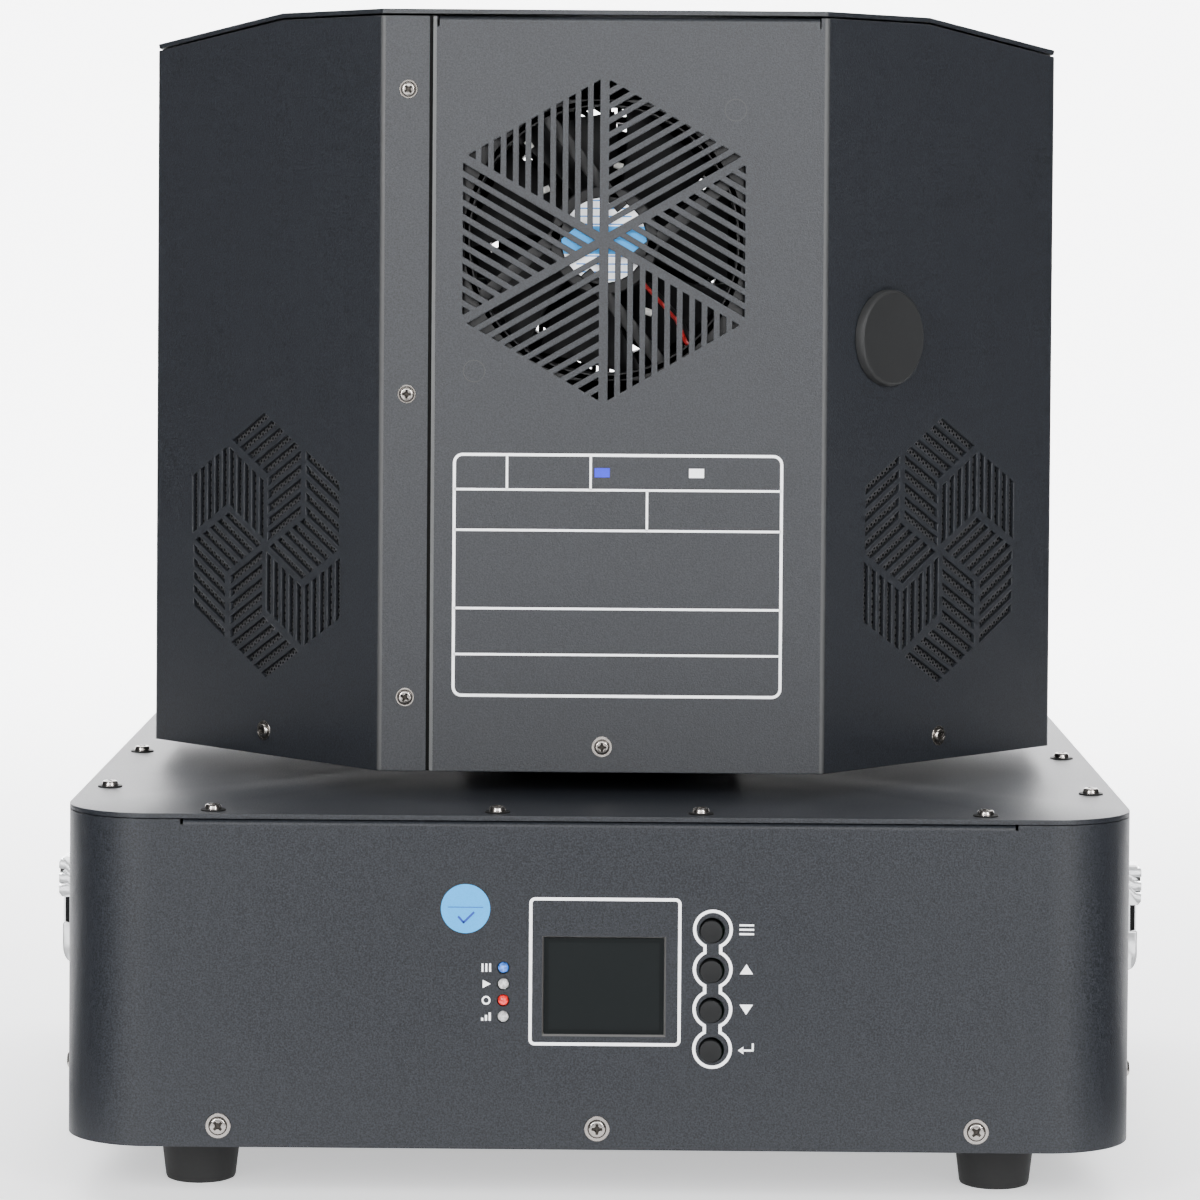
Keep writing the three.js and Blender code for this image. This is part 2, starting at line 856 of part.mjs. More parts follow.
function handleBracket() {
  const half = handleLength / 2;
  const low = handleAxisZ - handlePlateTall / 2;
  const x0 = baseHalf + seatGap;
  const plate = block(x0, x0 + handlePlateThickness, -half, half, low, low + handlePlateTall);
  const knucklePlan = roundedRectangle(knuckleDepth, knuckleTall, knuckleCornerRadius, bendSteps);
  const knuckles = [-1, 1].map((side) => {
    const ends = [side * half, side * (half - knuckleLength)].sort((a, b) => a - b);
    return standing(prism(knucklePlan, ...ends)).translate(knuckleX, 0, handleAxisZ);
  });
  const bore = standing(rod(bailWireRadius + runGap, -half - overrun, half + overrun, smallSides));
  const clear = bore.translate(handleAxisX, 0, handleAxisZ);
  return cut(joined(plate, ...knuckles), clear);
}

// A round wire along an outline in the YZ plane, at a fixed X
function bentWire(path, x, radius) {
  const rails = Array.from({ length: tinySides }, (_, i) => {
    const angle = ((i + 0.5) / tinySides) * 2 * Math.PI;
    const line = offsetPath(path, radius * Math.cos(angle));
    return line.map(([y, z]) => [x + radius * Math.sin(angle), y, z]);
  });
  return loft(path.map((_, i) => rails.map((rail) => rail[i])));
}

function bail() {
  const armY = handleLength / 2 - knuckleLength - bailWireRadius - runGap * 2;
  const endY = handleLength / 2 - seatGap;
  const low = handleAxisZ - bailDrop;
  const half = [
    [-endY, handleAxisZ],
    [-armY, handleAxisZ],
    [-armY, low],
  ];
  const knee = bentPath([...half, [0, low]], bailKnee, wireBendSteps);
  const other = knee.slice(0, -1).map(([y, z]) => [-y, z]);
  const wire = bentWire([...knee.slice(0, -1), ...other.reverse()], handleAxisX, bailWireRadius);
  const plan = roundedRectangle(gripThickness, gripTall, gripCornerRadius, bendSteps);
  const gripHalf = armY - gripInset;
  const grip = standing(prism(plan, -gripHalf, gripHalf)).translate(handleAxisX, 0, low);
  return joined(wire, grip);
}

// Inside the base

function powerSupply() {
  const bottom = trayTop + seatGap;
  const plan = roundedRectangle(supplyWidth, supplyLength, supplyCorner, bendSteps);
  const box = prism(plan, bottom, bottom + supplyHeight);
  const step = block(
    -supplyWidth,
    supplyWidth,
    -supplyLength / 2 - overrun,
    terminalDepth - supplyLength / 2,
    bottom + terminalStep,
    bottom + supplyHeight + overrun,
  );
  return cut(box, step).translate(supplyX, supplyY, 0);
}

function bearingOuterRing() {
  const top = lidBottom - seatGap;
  const low = top - bearingHeight;
  return ringTurned([
    [bearingSplitRadius + runGap, low],
    [bearingOuterRadius, low],
    [bearingOuterRadius, top],
    [bearingSplitRadius + runGap, top],
  ]);
}

function bearingInnerRing() {
  const top = lidBottom - seatGap;
  const low = top - bearingHeight;
  return ringTurned([
    [neckRadius + seatGap, low],
    [bearingSplitRadius, low],
    [bearingSplitRadius, top],
    [neckRadius + seatGap, top],
  ]);
}

function turntableColumn() {
  const bore = slipRotorRadius + seatGap;
  return ringTurned([
    [bore, gearBottom],
    [spigotRadius, gearBottom],
    [spigotRadius, gearTop + seatGap],
    [neckRadius, gearTop + seatGap],
    [neckRadius, baseTop + runGap],
    [columnFlangeRadius, baseTop + runGap],
    [columnFlangeRadius, columnTop],
    [bore, columnTop],
  ]);
}

// Straight flanked teeth, thinned by the backlash, with a gap under each tip
function gearOutline(teeth, phase) {
  const pitchRadius = (gearModule * teeth) / 2;
  const tip = pitchRadius + gearModule - gearRootGap / 2;
  const root = pitchRadius - gearModule - gearRootGap / 2;
  const pitchHalf = (Math.PI * gearModule) / 4 - gearBacklash / 2;
  const slope = Math.tan(toothFlankAngle);
  const points = [];
  const corner = (radius, side, angle) => {
    const half = pitchHalf - side[1] * Math.abs(radius - pitchRadius) * slope;
    const turn = angle + (side[0] * half) / radius;
    points.push([radius * Math.cos(turn), radius * Math.sin(turn)]);
  };
  for (let i = 0; i < teeth; i += 1) {
    const angle = ((i + phase) / teeth) * 2 * Math.PI;
    corner(root, [-1, -1], angle);
    corner(tip, [-1, 1], angle);
    corner(tip, [1, 1], angle);
    corner(root, [1, -1], angle);
  }
  return outline(points);
}

function ringGear() {
  const gear = prism(gearOutline(ringTeeth, 0), gearBottom, gearTop);
  return cut(gear, rod(spigotRadius + seatGap, gearBottom - overrun, gearTop + overrun));
}

function drivePinion() {
  const gear = prism(gearOutline(pinionTeeth, 0.5), gearBottom, gearTop);
  const hub = rod(pinionHubRadius, gearBottom - pinionHubHeight, gearBottom + joinDepth, smallSides);
  const shaftBottom = bracketTop - sheet - seatGap + motorBossHeight - motorShaftDepth;
  const shaft = rod(motorShaftRadius, shaftBottom + runGap, gearBottom, smallSides);
  return joined(gear, hub, shaft).translate(gearDistance, 0, 0);
}

function driveMotor() {
  const top = bracketTop - sheet - seatGap;
  const plan = roundedRectangle(motorSide, motorSide, motorCorner, bendSteps);
  const boss = rod(motorBossRadius, top - joinDepth, top + motorBossHeight);
  const bore = rod(
    motorShaftRadius + seatGap,
    top + motorBossHeight - motorShaftDepth,
    top + motorBossHeight + overrun,
    smallSides,
  );
  const body = joined(prism(plan, top - motorHeight, top), boss);
  return cut(body, bore).translate(gearDistance, 0, 0);
}

// A sheet folded into a Z: the motor hangs under the lower flange, the lid holds the upper one
function motorBracket() {
  const half = motorSide / 2 + bracketMargin;
  const top = lidBottom - seatGap;
  const riser = Math.max(gearDistance + half, bearingOuterRadius + bracketMargin);
  const shelf = block(gearDistance - half, riser, -half, half, bracketTop - sheet, bracketTop);
  const wall = block(riser - sheet, riser, -half, half, bracketTop - sheet, top);
  const flange = block(riser - sheet, riser + bracketFoot, -half, half, top - sheet, top);
  const hole = rod(motorBossRadius + seatGap, bracketTop - sheet - overrun, bracketTop + overrun);
  return cut(joined(shelf, wall, flange), hole.translate(gearDistance, 0, 0));
}

const slipRotorBottom = gearBottom - slipStatorReach;

function slipRingRotor() {
  return rod(slipRotorRadius, slipRotorBottom, columnTop - slipRotorInset, midSides);
}

function slipRingStator() {
  const foot = trayTop + seatGap;
  const outer = slipRotorRadius + slipStatorWall;
  const bore = slipRotorRadius + runGap;
  const boreFloor = slipRotorBottom - seatGap;
  return turned(
    [
      [0, foot],
      [slipStatorFootRadius, foot],
      [slipStatorFootRadius, foot + slipStatorFootThickness],
      [outer, foot + slipStatorFootThickness],
      [outer, gearBottom - slipStatorFloor],
      [bore, gearBottom - slipStatorFloor],
      [bore, boreFloor],
      [0, boreFloor],
    ],
    midSides,
  );
}

// Head plan: front, facet, side, facet and back of the right half, walked anticlockwise

function headCorners() {
  return [
    [frontHalf, -depthHalf],
    [widthHalf, -sideHalf],
    [widthHalf, sideHalf],
    [frontHalf, depthHalf],
    [-frontHalf, depthHalf],
    [-widthHalf, sideHalf],
    [-widthHalf, -sideHalf],
    [-frontHalf, -depthHalf],
  ];
}

function headTray() {
  const outer = outline(offsetPath(headCorners(), sheet + seatGap, true));
  const inner = outline(offsetPath(headCorners(), sheet * 2 + seatGap, true));
  const body = prism(outer, headBottom, headBottom + trayDepth);
  const inside = prism(inner, headBottom + sheet, headBottom + trayDepth + overrun);
  const hole = rod(headHoleRadius, headBottom - overrun, headBottom + sheet + overrun);
  return cut(body, inside, hole);
}

// The line of the top plate across the head, a distance below its upper face
function wingLine(below) {
  const end = widthHalf + overrun;
  const fall = (end - wingFoldX) * Math.tan(wingAngle);
  const fold = wingFoldX - below * Math.tan(wingAngle / 2);
  return [
    [-end, machineHeight - fall - below / Math.cos(wingAngle)],
    [-fold, machineHeight - below],
    [fold, machineHeight - below],
    [end, machineHeight - fall - below / Math.cos(wingAngle)],
  ];
}

function acrossHead(points) {
  const half = depthHalf + overrun;
  return standing(prism(outline(points), -half, half));
}

function tilted(geometry) {
  return geometry.rotateY(wingAngle).translate(nozzleX, 0, nozzleZ);
}

function headTopPlate() {
  const bend = acrossHead([...wingLine(headPlateThickness), ...wingLine(0).reverse()]);
  const bottom = nozzleZ - wingWidth;
  const plan = prism(outline(headCorners()), bottom, machineHeight + overrun);
  const reach = headPlateThickness + overrun;
  const hole = () => tilted(rod(nozzleTubeRadius + seatGap, -reach, overrun));
  return cut(shared(bend, plan), hole(), hole().rotateZ(Math.PI));
}

// Slots of the fan grille, seen from outside with the hexagon's centre at 0
function fanGrilleSlots() {
  const slots = [];
  const lean = Math.tan(Math.PI / 6);
  const spokeHalf = fanSpoke / 2;
  const spokeSlant = spokeHalf / Math.cos(Math.PI / 6);
  const apex = (fanGrilleRadius - spokeSlant) / (lean * 2);
  for (let sector = 0; sector < 6; sector += 1) {
    const turn = Math.PI / 2 + (sector * Math.PI) / 3;
    const place = (along, across) => [
      along * Math.cos(turn) - across * Math.sin(turn),
      along * Math.sin(turn) + across * Math.cos(turn),
    ];
    const near = (across) => across * lean + spokeSlant;
    const far = (across) => fanGrilleRadius - across * lean;
    for (let low = spokeHalf; low < apex - fanSlot / 2; low += fanSlotPitch) {
      const high = Math.min(low + fanSlot, apex);
      const corners = [place(near(low), low), place(far(low), low)];
      if (high < apex) corners.push(place(far(high), high));
      corners.push(place(near(high), high));
      slots.push(outline(corners));
    }
  }
  return slots;
}

// Slots of the facet grille, seen from outside with the hexagon's centre at 0
function facetGrilleSlots(hand) {
  const stepX = (facetGrilleRadius / 2) * Math.cos(Math.PI / 6);
  const stepY = facetGrilleRadius / 4;
  const side = facetGrilleRadius / 2;
  const across = side * Math.sin(Math.PI / 3);
  const margin = facetRib / across;
  const half = (1 / facetSlotCount - facetBar / across) / 2;
  const slots = [];
  for (const { from, run, next } of rhombusShares) {
    for (let i = 0; i < facetSlotCount; i += 1) {
      const middle = (i + 0.5) / facetSlotCount;
      const place = (along, aside) => [
        hand * stepX * (from[0] + run[0] * along + next[0] * aside),
        stepY * (from[1] + run[1] * along + next[1] * aside),
      ];
      const corners = [
        place(margin, middle - half),
        place(1 - margin, middle - half),
        place(1 - margin, middle + half),
        place(margin, middle + half),
      ];
      slots.push(outline(corners));
    }
  }
  return slots;
}

// Moves a form drawn as seen from outside, outer face at y = 0, onto the front right facet
function onFacet(geometry, along, height) {
  geometry.rotateZ(facetAngle);
  const x = frontHalf + along * Math.cos(facetAngle);
  const y = -depthHalf + along * Math.sin(facetAngle);
  return geometry.translate(x, y, height);
}

function throughWall(shapes) {
  return standing(prism(shapes, -sheet - overrun, overrun));
}

// The plan of one shell: its seam tongue, panel, facet, side, facet and seam strip
function shellPlan() {
  const seam = frontHalf - stripWidth;
  const corners = headCorners();
  const path = bentPath(
    [
      [seamGap / 2 - seam, -depthHalf],
      corners[0],
      corners[1],
      corners[2],
      corners[3],
      [seam + seamGap / 2, depthHalf],
    ],
    headBendRadius,
  );
  const inner = offsetPath(path, sheet);
  const edge = path[0][0];
  const tongueFace = sheet + seatGap - depthHalf;
  const tongueEnd = tongueInset - frontHalf;
  const tongue = [
    [edge + sheet, inner[0][1]],
    [edge + sheet, tongueFace + sheet],
    [tongueEnd, tongueFace + sheet],
    [tongueEnd, tongueFace],
    [edge, tongueFace],
  ];
  return outline([...path, ...inner.slice(1).reverse(), ...tongue]);
}

function headShell() {
  const seamEdge = seamGap / 2 - (frontHalf - stripWidth);
  const wall = prism(shellPlan(), headBottom, machineHeight);
  const line = wingLine(headPlateThickness + seatGap);
  const skyTop = machineHeight + overrun;
  const sky = acrossHead([...line, [line[line.length - 1][0], skyTop], [line[0][0], skyTop]]);
  const trayRoom = block(
    -frontHalf,
    seamEdge + sheet,
    sheet + seatGap - depthHalf,
    sheet + tongueRoom - depthHalf,
    headBottom - overrun,
    headBottom + trayDepth + seatGap,
  );
  const foldEnds = [seamEdge + sheet + notchWidth, frontHalf - headBendRadius];
  const foldGap = block(
    seamEdge,
    foldEnds[1],
    -depthHalf - overrun,
    sheet - depthHalf,
    headShellTop - notchDepth,
    machineHeight,
  );
  const fold = frontFold(foldEnds[0], foldEnds[1] - notchWidth, -depthHalf, headShellTop, foldReach);
  const middle = facetLength / 2;
  const fanSlots = throughWall(fanGrilleSlots()).translate(0, -depthHalf, fanZ);
  const facetSlots = onFacet(throughWall(facetGrilleSlots(-1)), middle, grilleZ);
  const backSlots = mirroredY(facetSlots);
  const portHole = outline(circlePoints(portRadius + seatGap, roundSides));
  const port = onFacet(throughWall(portHole), portShare * facetLength, portZ);
  return joined(cut(wall, sky, trayRoom, foldGap, fanSlots, facetSlots, backSlots, port), fold);
}

// Perforated sheet that lies behind both facet grilles of a shell
function dustScreen() {
  const reach = facetGrilleRadius * Math.cos(Math.PI / 6) + screenMargin;
  const start = facetLength / 2 - reach;
  const x = frontHalf + start * Math.cos(facetAngle);
  const y = -depthHalf + start * Math.sin(facetAngle);
  const path = [
    [x, y],
    [widthHalf, -sideHalf],
    [widthHalf, sideHalf],
    [x, -y],
  ];
  const near = offsetPath(path, sheet + seatGap);
  const far = offsetPath(path, sheet + seatGap + screenThickness);
  const half = facetGrilleRadius + screenMargin;
  return prism(outline([...near, ...far.reverse()]), grilleZ - half, grilleZ + half);
}

// Fan behind the front grille, drawn with its static hub side up and its middle at 0

function fanFrame() {
  const plan = roundedRectangle(fanSide, fanSide, fanCorner, bendSteps);
  const duct = fanSide / 2 - fanWall;
  const shell = cut(prism(plan, -fanDepth, 0), rod(duct, -fanDepth - overrun, overrun, roundSides));
  const hub = rod(fanHubRadius, -fanHubThickness, 0, midSides);
  const struts = [];
  for (let i = 0; i < strutCount; i += 1) {
    const aside = -fanStrutOffset - fanStrutWidth;
    const strut = block(0, duct + fanWall / 2, aside, -fanStrutOffset, -fanStrutThickness, 0);
    struts.push(strut.rotateZ(strutAngle + (i * 2 * Math.PI) / strutCount));
  }
  const shaftHole = rod(rotorShaftRadius + seatGap, -fanHubThickness - overrun, -joinDepth, tinySides);
  return cut(joined(shell, hub, ...struts), shaftHole);
}

// A blade from hub to tip: a thin slanted bar, wider and less slanted towards the tip
function fanBlade(tipRadius) {
  const rings = bladeStations.map(({ twistShare, widthShare }, i) => {
    const pitch = bladePitchAngle * twistShare;
    const along = (bladeChord * widthShare) / 2;
    const thick = bladeThickness / 2;
    const radius = i === 0 ? rotorHubRadius - joinDepth : tipRadius;
    const corner = (u, v) => [
      radius,
      u * Math.cos(pitch) - v * Math.sin(pitch),
      u * Math.sin(pitch) + v * Math.cos(pitch),
    ];
    return [corner(-along, -thick), corner(along, -thick), corner(along, thick), corner(-along, thick)];
  });
  return loft(rings);
}

function fanRotor() {
  const top = -fanHubThickness - runGap;
  const bottom = rotorBackGap - fanDepth;
  const hub = rod(rotorHubRadius, bottom, top, midSides);
  const shaft = rod(rotorShaftRadius, top - joinDepth, -joinDepth - runGap, tinySides);
  const reach = (fanSide / 2 - fanWall) * Math.cos(Math.PI / roundSides) - rotorTipGap;
  const tip = Math.sqrt(reach ** 2 - (bladeChord / 2) ** 2);
  const blades = [];
  for (let i = 0; i < bladeCount; i += 1) {
    const blade = fanBlade(tip).translate(0, 0, (top + bottom) / 2);
    blades.push(blade.rotateZ((i * 2 * Math.PI) / bladeCount));
  }
  return joined(hub, shaft, ...blades);
}

// Round plug of a filler port, drawn with +Z out of the head and its seat on the facet at 0
function fillerPlug() {
  const spigot = portRadius - runGap;
  const top = seatGap + plugFlangeThickness;
  return turned(
    [
      [0, -plugWall],
      [spigot - plugWall, -plugWall],
      [spigot - plugWall, -plugReach],
      [spigot, -plugReach],
      [spigot, seatGap],
      [plugFlangeRadius, seatGap],
      [plugFlangeRadius, top - plugChamfer],
      [plugFlangeRadius - plugChamfer, top],
      [0, top],
    ],
    midSides,
  );
}

// Nozzle and heater chamber, drawn with +Z out of the wing and the wing's upper face at 0

const flangeRadius = wingWidth / 2 - nozzleFlangeMargin;
const nozzleSeat = -headPlateThickness - seatGap;
const chamberSeat = nozzleSeat - nozzleFlangeThickness - seatGap;

function sparkNozzle() {
  const low = nozzleSeat - nozzleFlangeThickness;
  return ringTurned(
    [
      [chamberBoreRadius, low],
      [flangeRadius, low],
      [flangeRadius, nozzleSeat],
      [nozzleTubeRadius, nozzleSeat],
      [nozzleTubeRadius, nozzleStand],
      [nozzleMouthRadius, nozzleStand],
      [chamberBoreRadius, nozzleStand - nozzleMouthDepth],
    ],
    midSides,
  );
}

const chamberBottom = -(nozzleZ - feedZ) / Math.cos(wingAngle) - chamberTail;

function heaterChamber() {
  const floor = chamberBottom + chamberRadius - chamberBoreRadius;
  const body = turned(
    [
      [0, chamberBottom - airSpigotLength],
      [airSpigotRadius, chamberBottom - airSpigotLength],
      [airSpigotRadius, chamberBottom],
      [chamberRadius, chamberBottom],
      [chamberRadius, chamberSeat - chamberFlangeThickness],
      [flangeRadius, chamberSeat - chamberFlangeThickness],
      [flangeRadius, chamberSeat],
      [0, chamberSeat],
    ],
    midSides,
  );
  const bore = rod(chamberBoreRadius, floor, chamberSeat + overrun, smallSides);
  const airBoreBottom = chamberBottom - airSpigotLength - overrun;
  const airBore = rod(airBoreRadius, airBoreBottom, floor + joinDepth, tinySides);
  const inlet = alongX(rod(screwBoreRadius, 0, chamberRadius + overrun, smallSides));
  return cut(tilted(cut(body, bore, airBore)), atFeed(inlet));
}

// Feed unit frame: origin on the chamber's axis at the feed screw, +X along the screw away from
// the chamber, +Y towards the facet with the filler port

function atFeed(geometry) {
  return geometry.rotateZ(facetAngle - Math.PI).translate(feedX, 0, feedZ);
}

function feedPlace(x, y) {
  const away = [-Math.cos(facetAngle), -Math.sin(facetAngle)];
  const aside = [Math.sin(facetAngle), -Math.cos(facetAngle)];
  const dx = x - feedX;
  return [dx * away[0] + y * away[1], dx * aside[0] + y * aside[1]];
}

const portAlong = portShare * facetLength;
const portPlace = feedPlace(
  frontHalf + portAlong * Math.cos(facetAngle),
  -depthHalf + portAlong * Math.sin(facetAngle),
);
const hopperFace = portPlace[1] - sheet - seatGap;
const outletEnd = outletStart + outletLength;
const screwTubeEnd = outletEnd + hopperWall * 2;
const hopperTop = portZ - feedZ + portRadius + hopperRim;
const hopperKnee = portZ - feedZ - portRadius - hopperRim;

// Outside form of the hopper, or its inside with the wall as inset
function hopperForm(inset) {
  const side = screwBoreRadius - inset;
  const aside = screwTubeRadius - inset;
  const throat = [outletStart - hopperWall + inset, outletEnd + hopperWall - inset];
  const far = Math.max(portPlace[0] + portRadius + hopperRim, outletEnd);
  const room = [outletStart - hopperWall * 2 + inset, far - inset];
  const levels = [
    { x: throat, y: [-side, side], z: screwShaftRadius },
    { x: throat, y: [-side, side], z: screwTubeRadius },
    { x: room, y: [-aside, hopperFace - inset], z: hopperKnee },
    { x: room, y: [-aside, hopperFace - inset], z: hopperTop - inset },
  ];
  return loft(
    levels.map(({ x, y, z }) => [
      [x[0], y[0], z],
      [x[1], y[0], z],
      [x[1], y[1], z],
      [x[0], y[1], z],
    ]),
  );
}

function granuleHopper() {
  const tube = alongX(rod(screwTubeRadius, chamberBoreRadius, screwTubeEnd, smallSides));
  const bore = alongX(rod(screwBoreRadius, 0, outletEnd, smallSides));
  const shaftHole = alongX(rod(screwShaftRadius + seatGap, 0, screwTubeEnd + overrun, smallSides));
  const port = rod(portRadius + seatGap, hopperFace - hopperWall - overrun, hopperFace + overrun, midSides);
  const portCut = port.rotateX(-Math.PI / 2).translate(portPlace[0], 0, portZ - feedZ);
  const body = cut(joined(tube, hopperForm(0)), bore, hopperForm(hopperWall), shaftHole, portCut);
  const clearRadius = (chamberRadius + seatGap) / Math.cos(Math.PI / roundSides);
  const clear = tilted(rod(clearRadius, chamberBottom - overrun, chamberSeat));
  return cut(atFeed(body), clear);
}

// A screw flight of one thickness wound round the shaft
function screwFlight(from, to, radius) {
  const climb = to - from - screwFlightThickness;
  const steps = Math.round((climb / screwLead) * tinySides);
  const rings = Array.from({ length: steps + 1 }, (_, step) => {
    const angle = (2 * Math.PI * (step + 0.5)) / tinySides;
    const low = from + (climb * step) / steps;
    const high = low + screwFlightThickness;
    const corner = (r, x) => [x, r * Math.cos(angle), r * Math.sin(angle)];
    const root = screwShaftRadius / 2;
    return [corner(root, low), corner(root, high), corner(radius, high), corner(radius, low)];
  });
  return loft(rings);
}

function feedScrew() {
  const shaftEnd = screwTubeEnd + seatGap + feedMotorShaftDepth - runGap;
  const shaft = alongX(rod(screwShaftRadius, screwTipInset, shaftEnd, tinySides));
  const flight = screwFlight(screwTipInset, outletEnd - runGap, screwBoreRadius - runGap);
  return atFeed(joined(shaft, flight));
}

function feedMotor() {
  const start = screwTubeEnd + seatGap;
  const neck = feedMotorRadius - feedGearboxInset;
  const body = turned(
    [
      [0, start],
      [neck, start],
      [neck, start + feedGearboxLength],
      [feedMotorRadius, start + feedGearboxLength],
      [feedMotorRadius, start + feedMotorLength],
      [0, start + feedMotorLength],
    ],
    smallSides,
  );
  const bore = rod(screwShaftRadius + seatGap, start - overrun, start + feedMotorShaftDepth, tinySides);
  return atFeed(alongX(cut(body, bore)));
}

// Assembly of the base

function addFeet(group) {
  const place = baseHalf - footInset;
  const places = [
    ["front_left", -place, -place],
    ["front_right", place, -place],
    ["rear_left", -place, place],
    ["rear_right", place, place],
  ];
  for (const [where, x, y] of places) {
    const mesh = named(`foot_${where}`, foot(), 0x26282a, 0.85, 0);
    mesh.position.set(x, y, 0);
    group.add(mesh);
  }
}

function addControls(group) {
  group.add(named("lcd_window", displayWindow(), 0x1a1c20, 0.15, 0));
  group.add(named("control_board", controlBoard(), 0x1f5a34, 0.5, 0.1));
  for (let i = 0; i < buttonCount; i += 1) {
    const button = plastic(`menu_button_${i + 1}`, standing(pushButton()));
    button.position.set(buttonX, 0, shellBottom + buttonTopHeight - i * buttonPitch);
    group.add(button);
  }
  const colours = [0x4a74e8, 0xe8ecf4, 0xd84840, 0xe8ecf4];
  for (let i = 0; i < lampCount; i += 1) {
    const lamp = named(`indicator_lamp_${i + 1}`, standing(indicatorLamp()), colours[i], 0.2, 0);
    lamp.position.set(lampX, 0, shellBottom + lampTopHeight - i * lampPitch);
    group.add(lamp);
  }
}

function addSockets(group) {
  const z = shellBottom + socketHeight;
  const back = (mesh, x) => {
    mesh.geometry = standingBack(mesh.geometry);
    mesh.position.set(x, 0, z);
    group.add(mesh);
  };
  back(named("mains_inlet", socketBody(mainsBoreRadius, socketBoreDepth), 0x2f62b8, 0.5, 0), mainsInX);
  back(named("mains_outlet", socketBody(mainsBoreRadius, socketBoreDepth), 0x9ea3a8, 0.5, 0), mainsOutX);
  back(steel("signal_inlet", pinSocket()), signalInX);
  back(steel("signal_outlet", holeSocket()), signalOutX);
  back(plastic("fuse_holder", fuseHolder()), fuseX);
  back(plastic("power_switch_housing", switchHousing()), switchX);
  const rocker = named("power_switch_rocker", standingBack(switchRocker()), 0xb02824, 0.4, 0);
  rocker.position.set(switchX, baseHalf + seatGap - rockerPivotDepth, z);
  group.add(rocker);
}

function addHandles(group) {
  for (const [side, turn] of [
    ["right", 0],
    ["left", Math.PI],
  ]) {
    const half = new THREE.Group();
    half.rotation.z = turn;
    half.add(chromed(`handle_bracket_${side}`, handleBracket()));
    half.add(chromed(`handle_bail_${side}`, bail()));
    group.add(half);
  }
}

function addDrive(group) {
  group.add(steel("power_supply", powerSupply()));
  group.add(plastic("drive_motor", driveMotor()));
  group.add(steel("motor_bracket", motorBracket()));
  group.add(steel("drive_pinion", drivePinion()));
  group.add(steel("bearing_outer_ring", bearingOuterRing()));
  group.add(steel("bearing_inner_ring", bearingInnerRing()));
  group.add(plastic("turntable_column", turntableColumn()));
  group.add(steel("ring_gear", ringGear()));
  group.add(plastic("slip_ring_stator", slipRingStator()));
  group.add(steel("slip_ring_rotor", slipRingRotor()));
}

function makeBase() {
  const group = new THREE.Group();
  addFeet(group);
  group.add(painted("base_bottom_plate", baseTray()));
  group.add(painted("base_body_shell", baseShell()));
  group.add(painted("base_top_plate", baseLid()));
  addControls(group);
  addSockets(group);
  addHandles(group);
  addDrive(group);
  return group;
}

// Assembly of the head: the left and rear pieces are the right and front ones, turned half round

function addFan(group, end) {
  const place = (mesh) => {
    mesh.position.set(0, sheet + seatGap - depthHalf, fanZ);
    mesh.rotation.x = Math.PI / 2;
    group.add(mesh);
  };
  place(plastic(`fan_frame_${end}`, fanFrame()));
  place(plastic(`fan_rotor_${end}`, fanRotor()));
}

function makeHeadHalf(side, end, turn) {
  const group = new THREE.Group();
  group.rotation.z = turn;
  group.add(painted(`head_shell_${side}`, headShell()));
  group.add(steel(`dust_screen_${side}`, dustScreen()));
  addFan(group, end);
  const plug = plastic(`filler_plug_${end}`, onFacet(standing(fillerPlug()), portAlong, portZ));
  group.add(plug);
  group.add(steel(`spark_nozzle_${side}`, tilted(sparkNozzle())));
  group.add(steel(`heater_chamber_${side}`, heaterChamber()));
  group.add(steel(`granule_hopper_${side}`, granuleHopper()));
  group.add(steel(`feed_screw_${side}`, feedScrew()));
  group.add(plastic(`feed_motor_${side}`, feedMotor()));
  return group;
}

function makeHead() {
  const group = new THREE.Group();
  group.add(painted("head_bottom_plate", headTray()));
  group.add(painted("head_top_plate", headTopPlate()));
  group.add(makeHeadHalf("right", "front", 0));
  group.add(makeHeadHalf("left", "rear", Math.PI));
  return group;
}

const machine = new THREE.Group();
machine.add(makeBase());
machine.add(makeHead());

export default machine;
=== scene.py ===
# Finished pieces, finishes and studio stage of a cold spark machine with a turning head.
# Metres, +Z up, the front with the display looks along -Y. Sizes come from the frame where it has
# them, and each piece is drawn at the origin (x right, y up, z out) and then set on its wall.
# Print and many profiles are written in millimetres, which mm() turns into metres.

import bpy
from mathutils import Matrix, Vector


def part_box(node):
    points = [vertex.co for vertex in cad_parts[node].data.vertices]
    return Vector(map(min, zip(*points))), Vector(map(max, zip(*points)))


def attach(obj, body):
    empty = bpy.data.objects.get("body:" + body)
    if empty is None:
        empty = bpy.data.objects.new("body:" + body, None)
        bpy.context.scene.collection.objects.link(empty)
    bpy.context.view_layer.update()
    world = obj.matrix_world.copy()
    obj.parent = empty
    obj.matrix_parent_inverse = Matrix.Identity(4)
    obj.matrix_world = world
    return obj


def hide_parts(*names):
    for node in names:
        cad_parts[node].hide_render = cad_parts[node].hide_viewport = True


bl_info = {
    "name": "Cold spark machine",
    "version": (1, 0, 0),
    "blender": (4, 5, 0),
    "location": "View3D > Sidebar > Spark machine",
    "description": "Dresses the frame of a cold spark machine and sets a studio stage",
    "category": "Add Mesh",
}

import math

import bmesh
import bpy
from bpy.props import FloatProperty, FloatVectorProperty, IntProperty, PointerProperty
from mathutils import Matrix, Vector

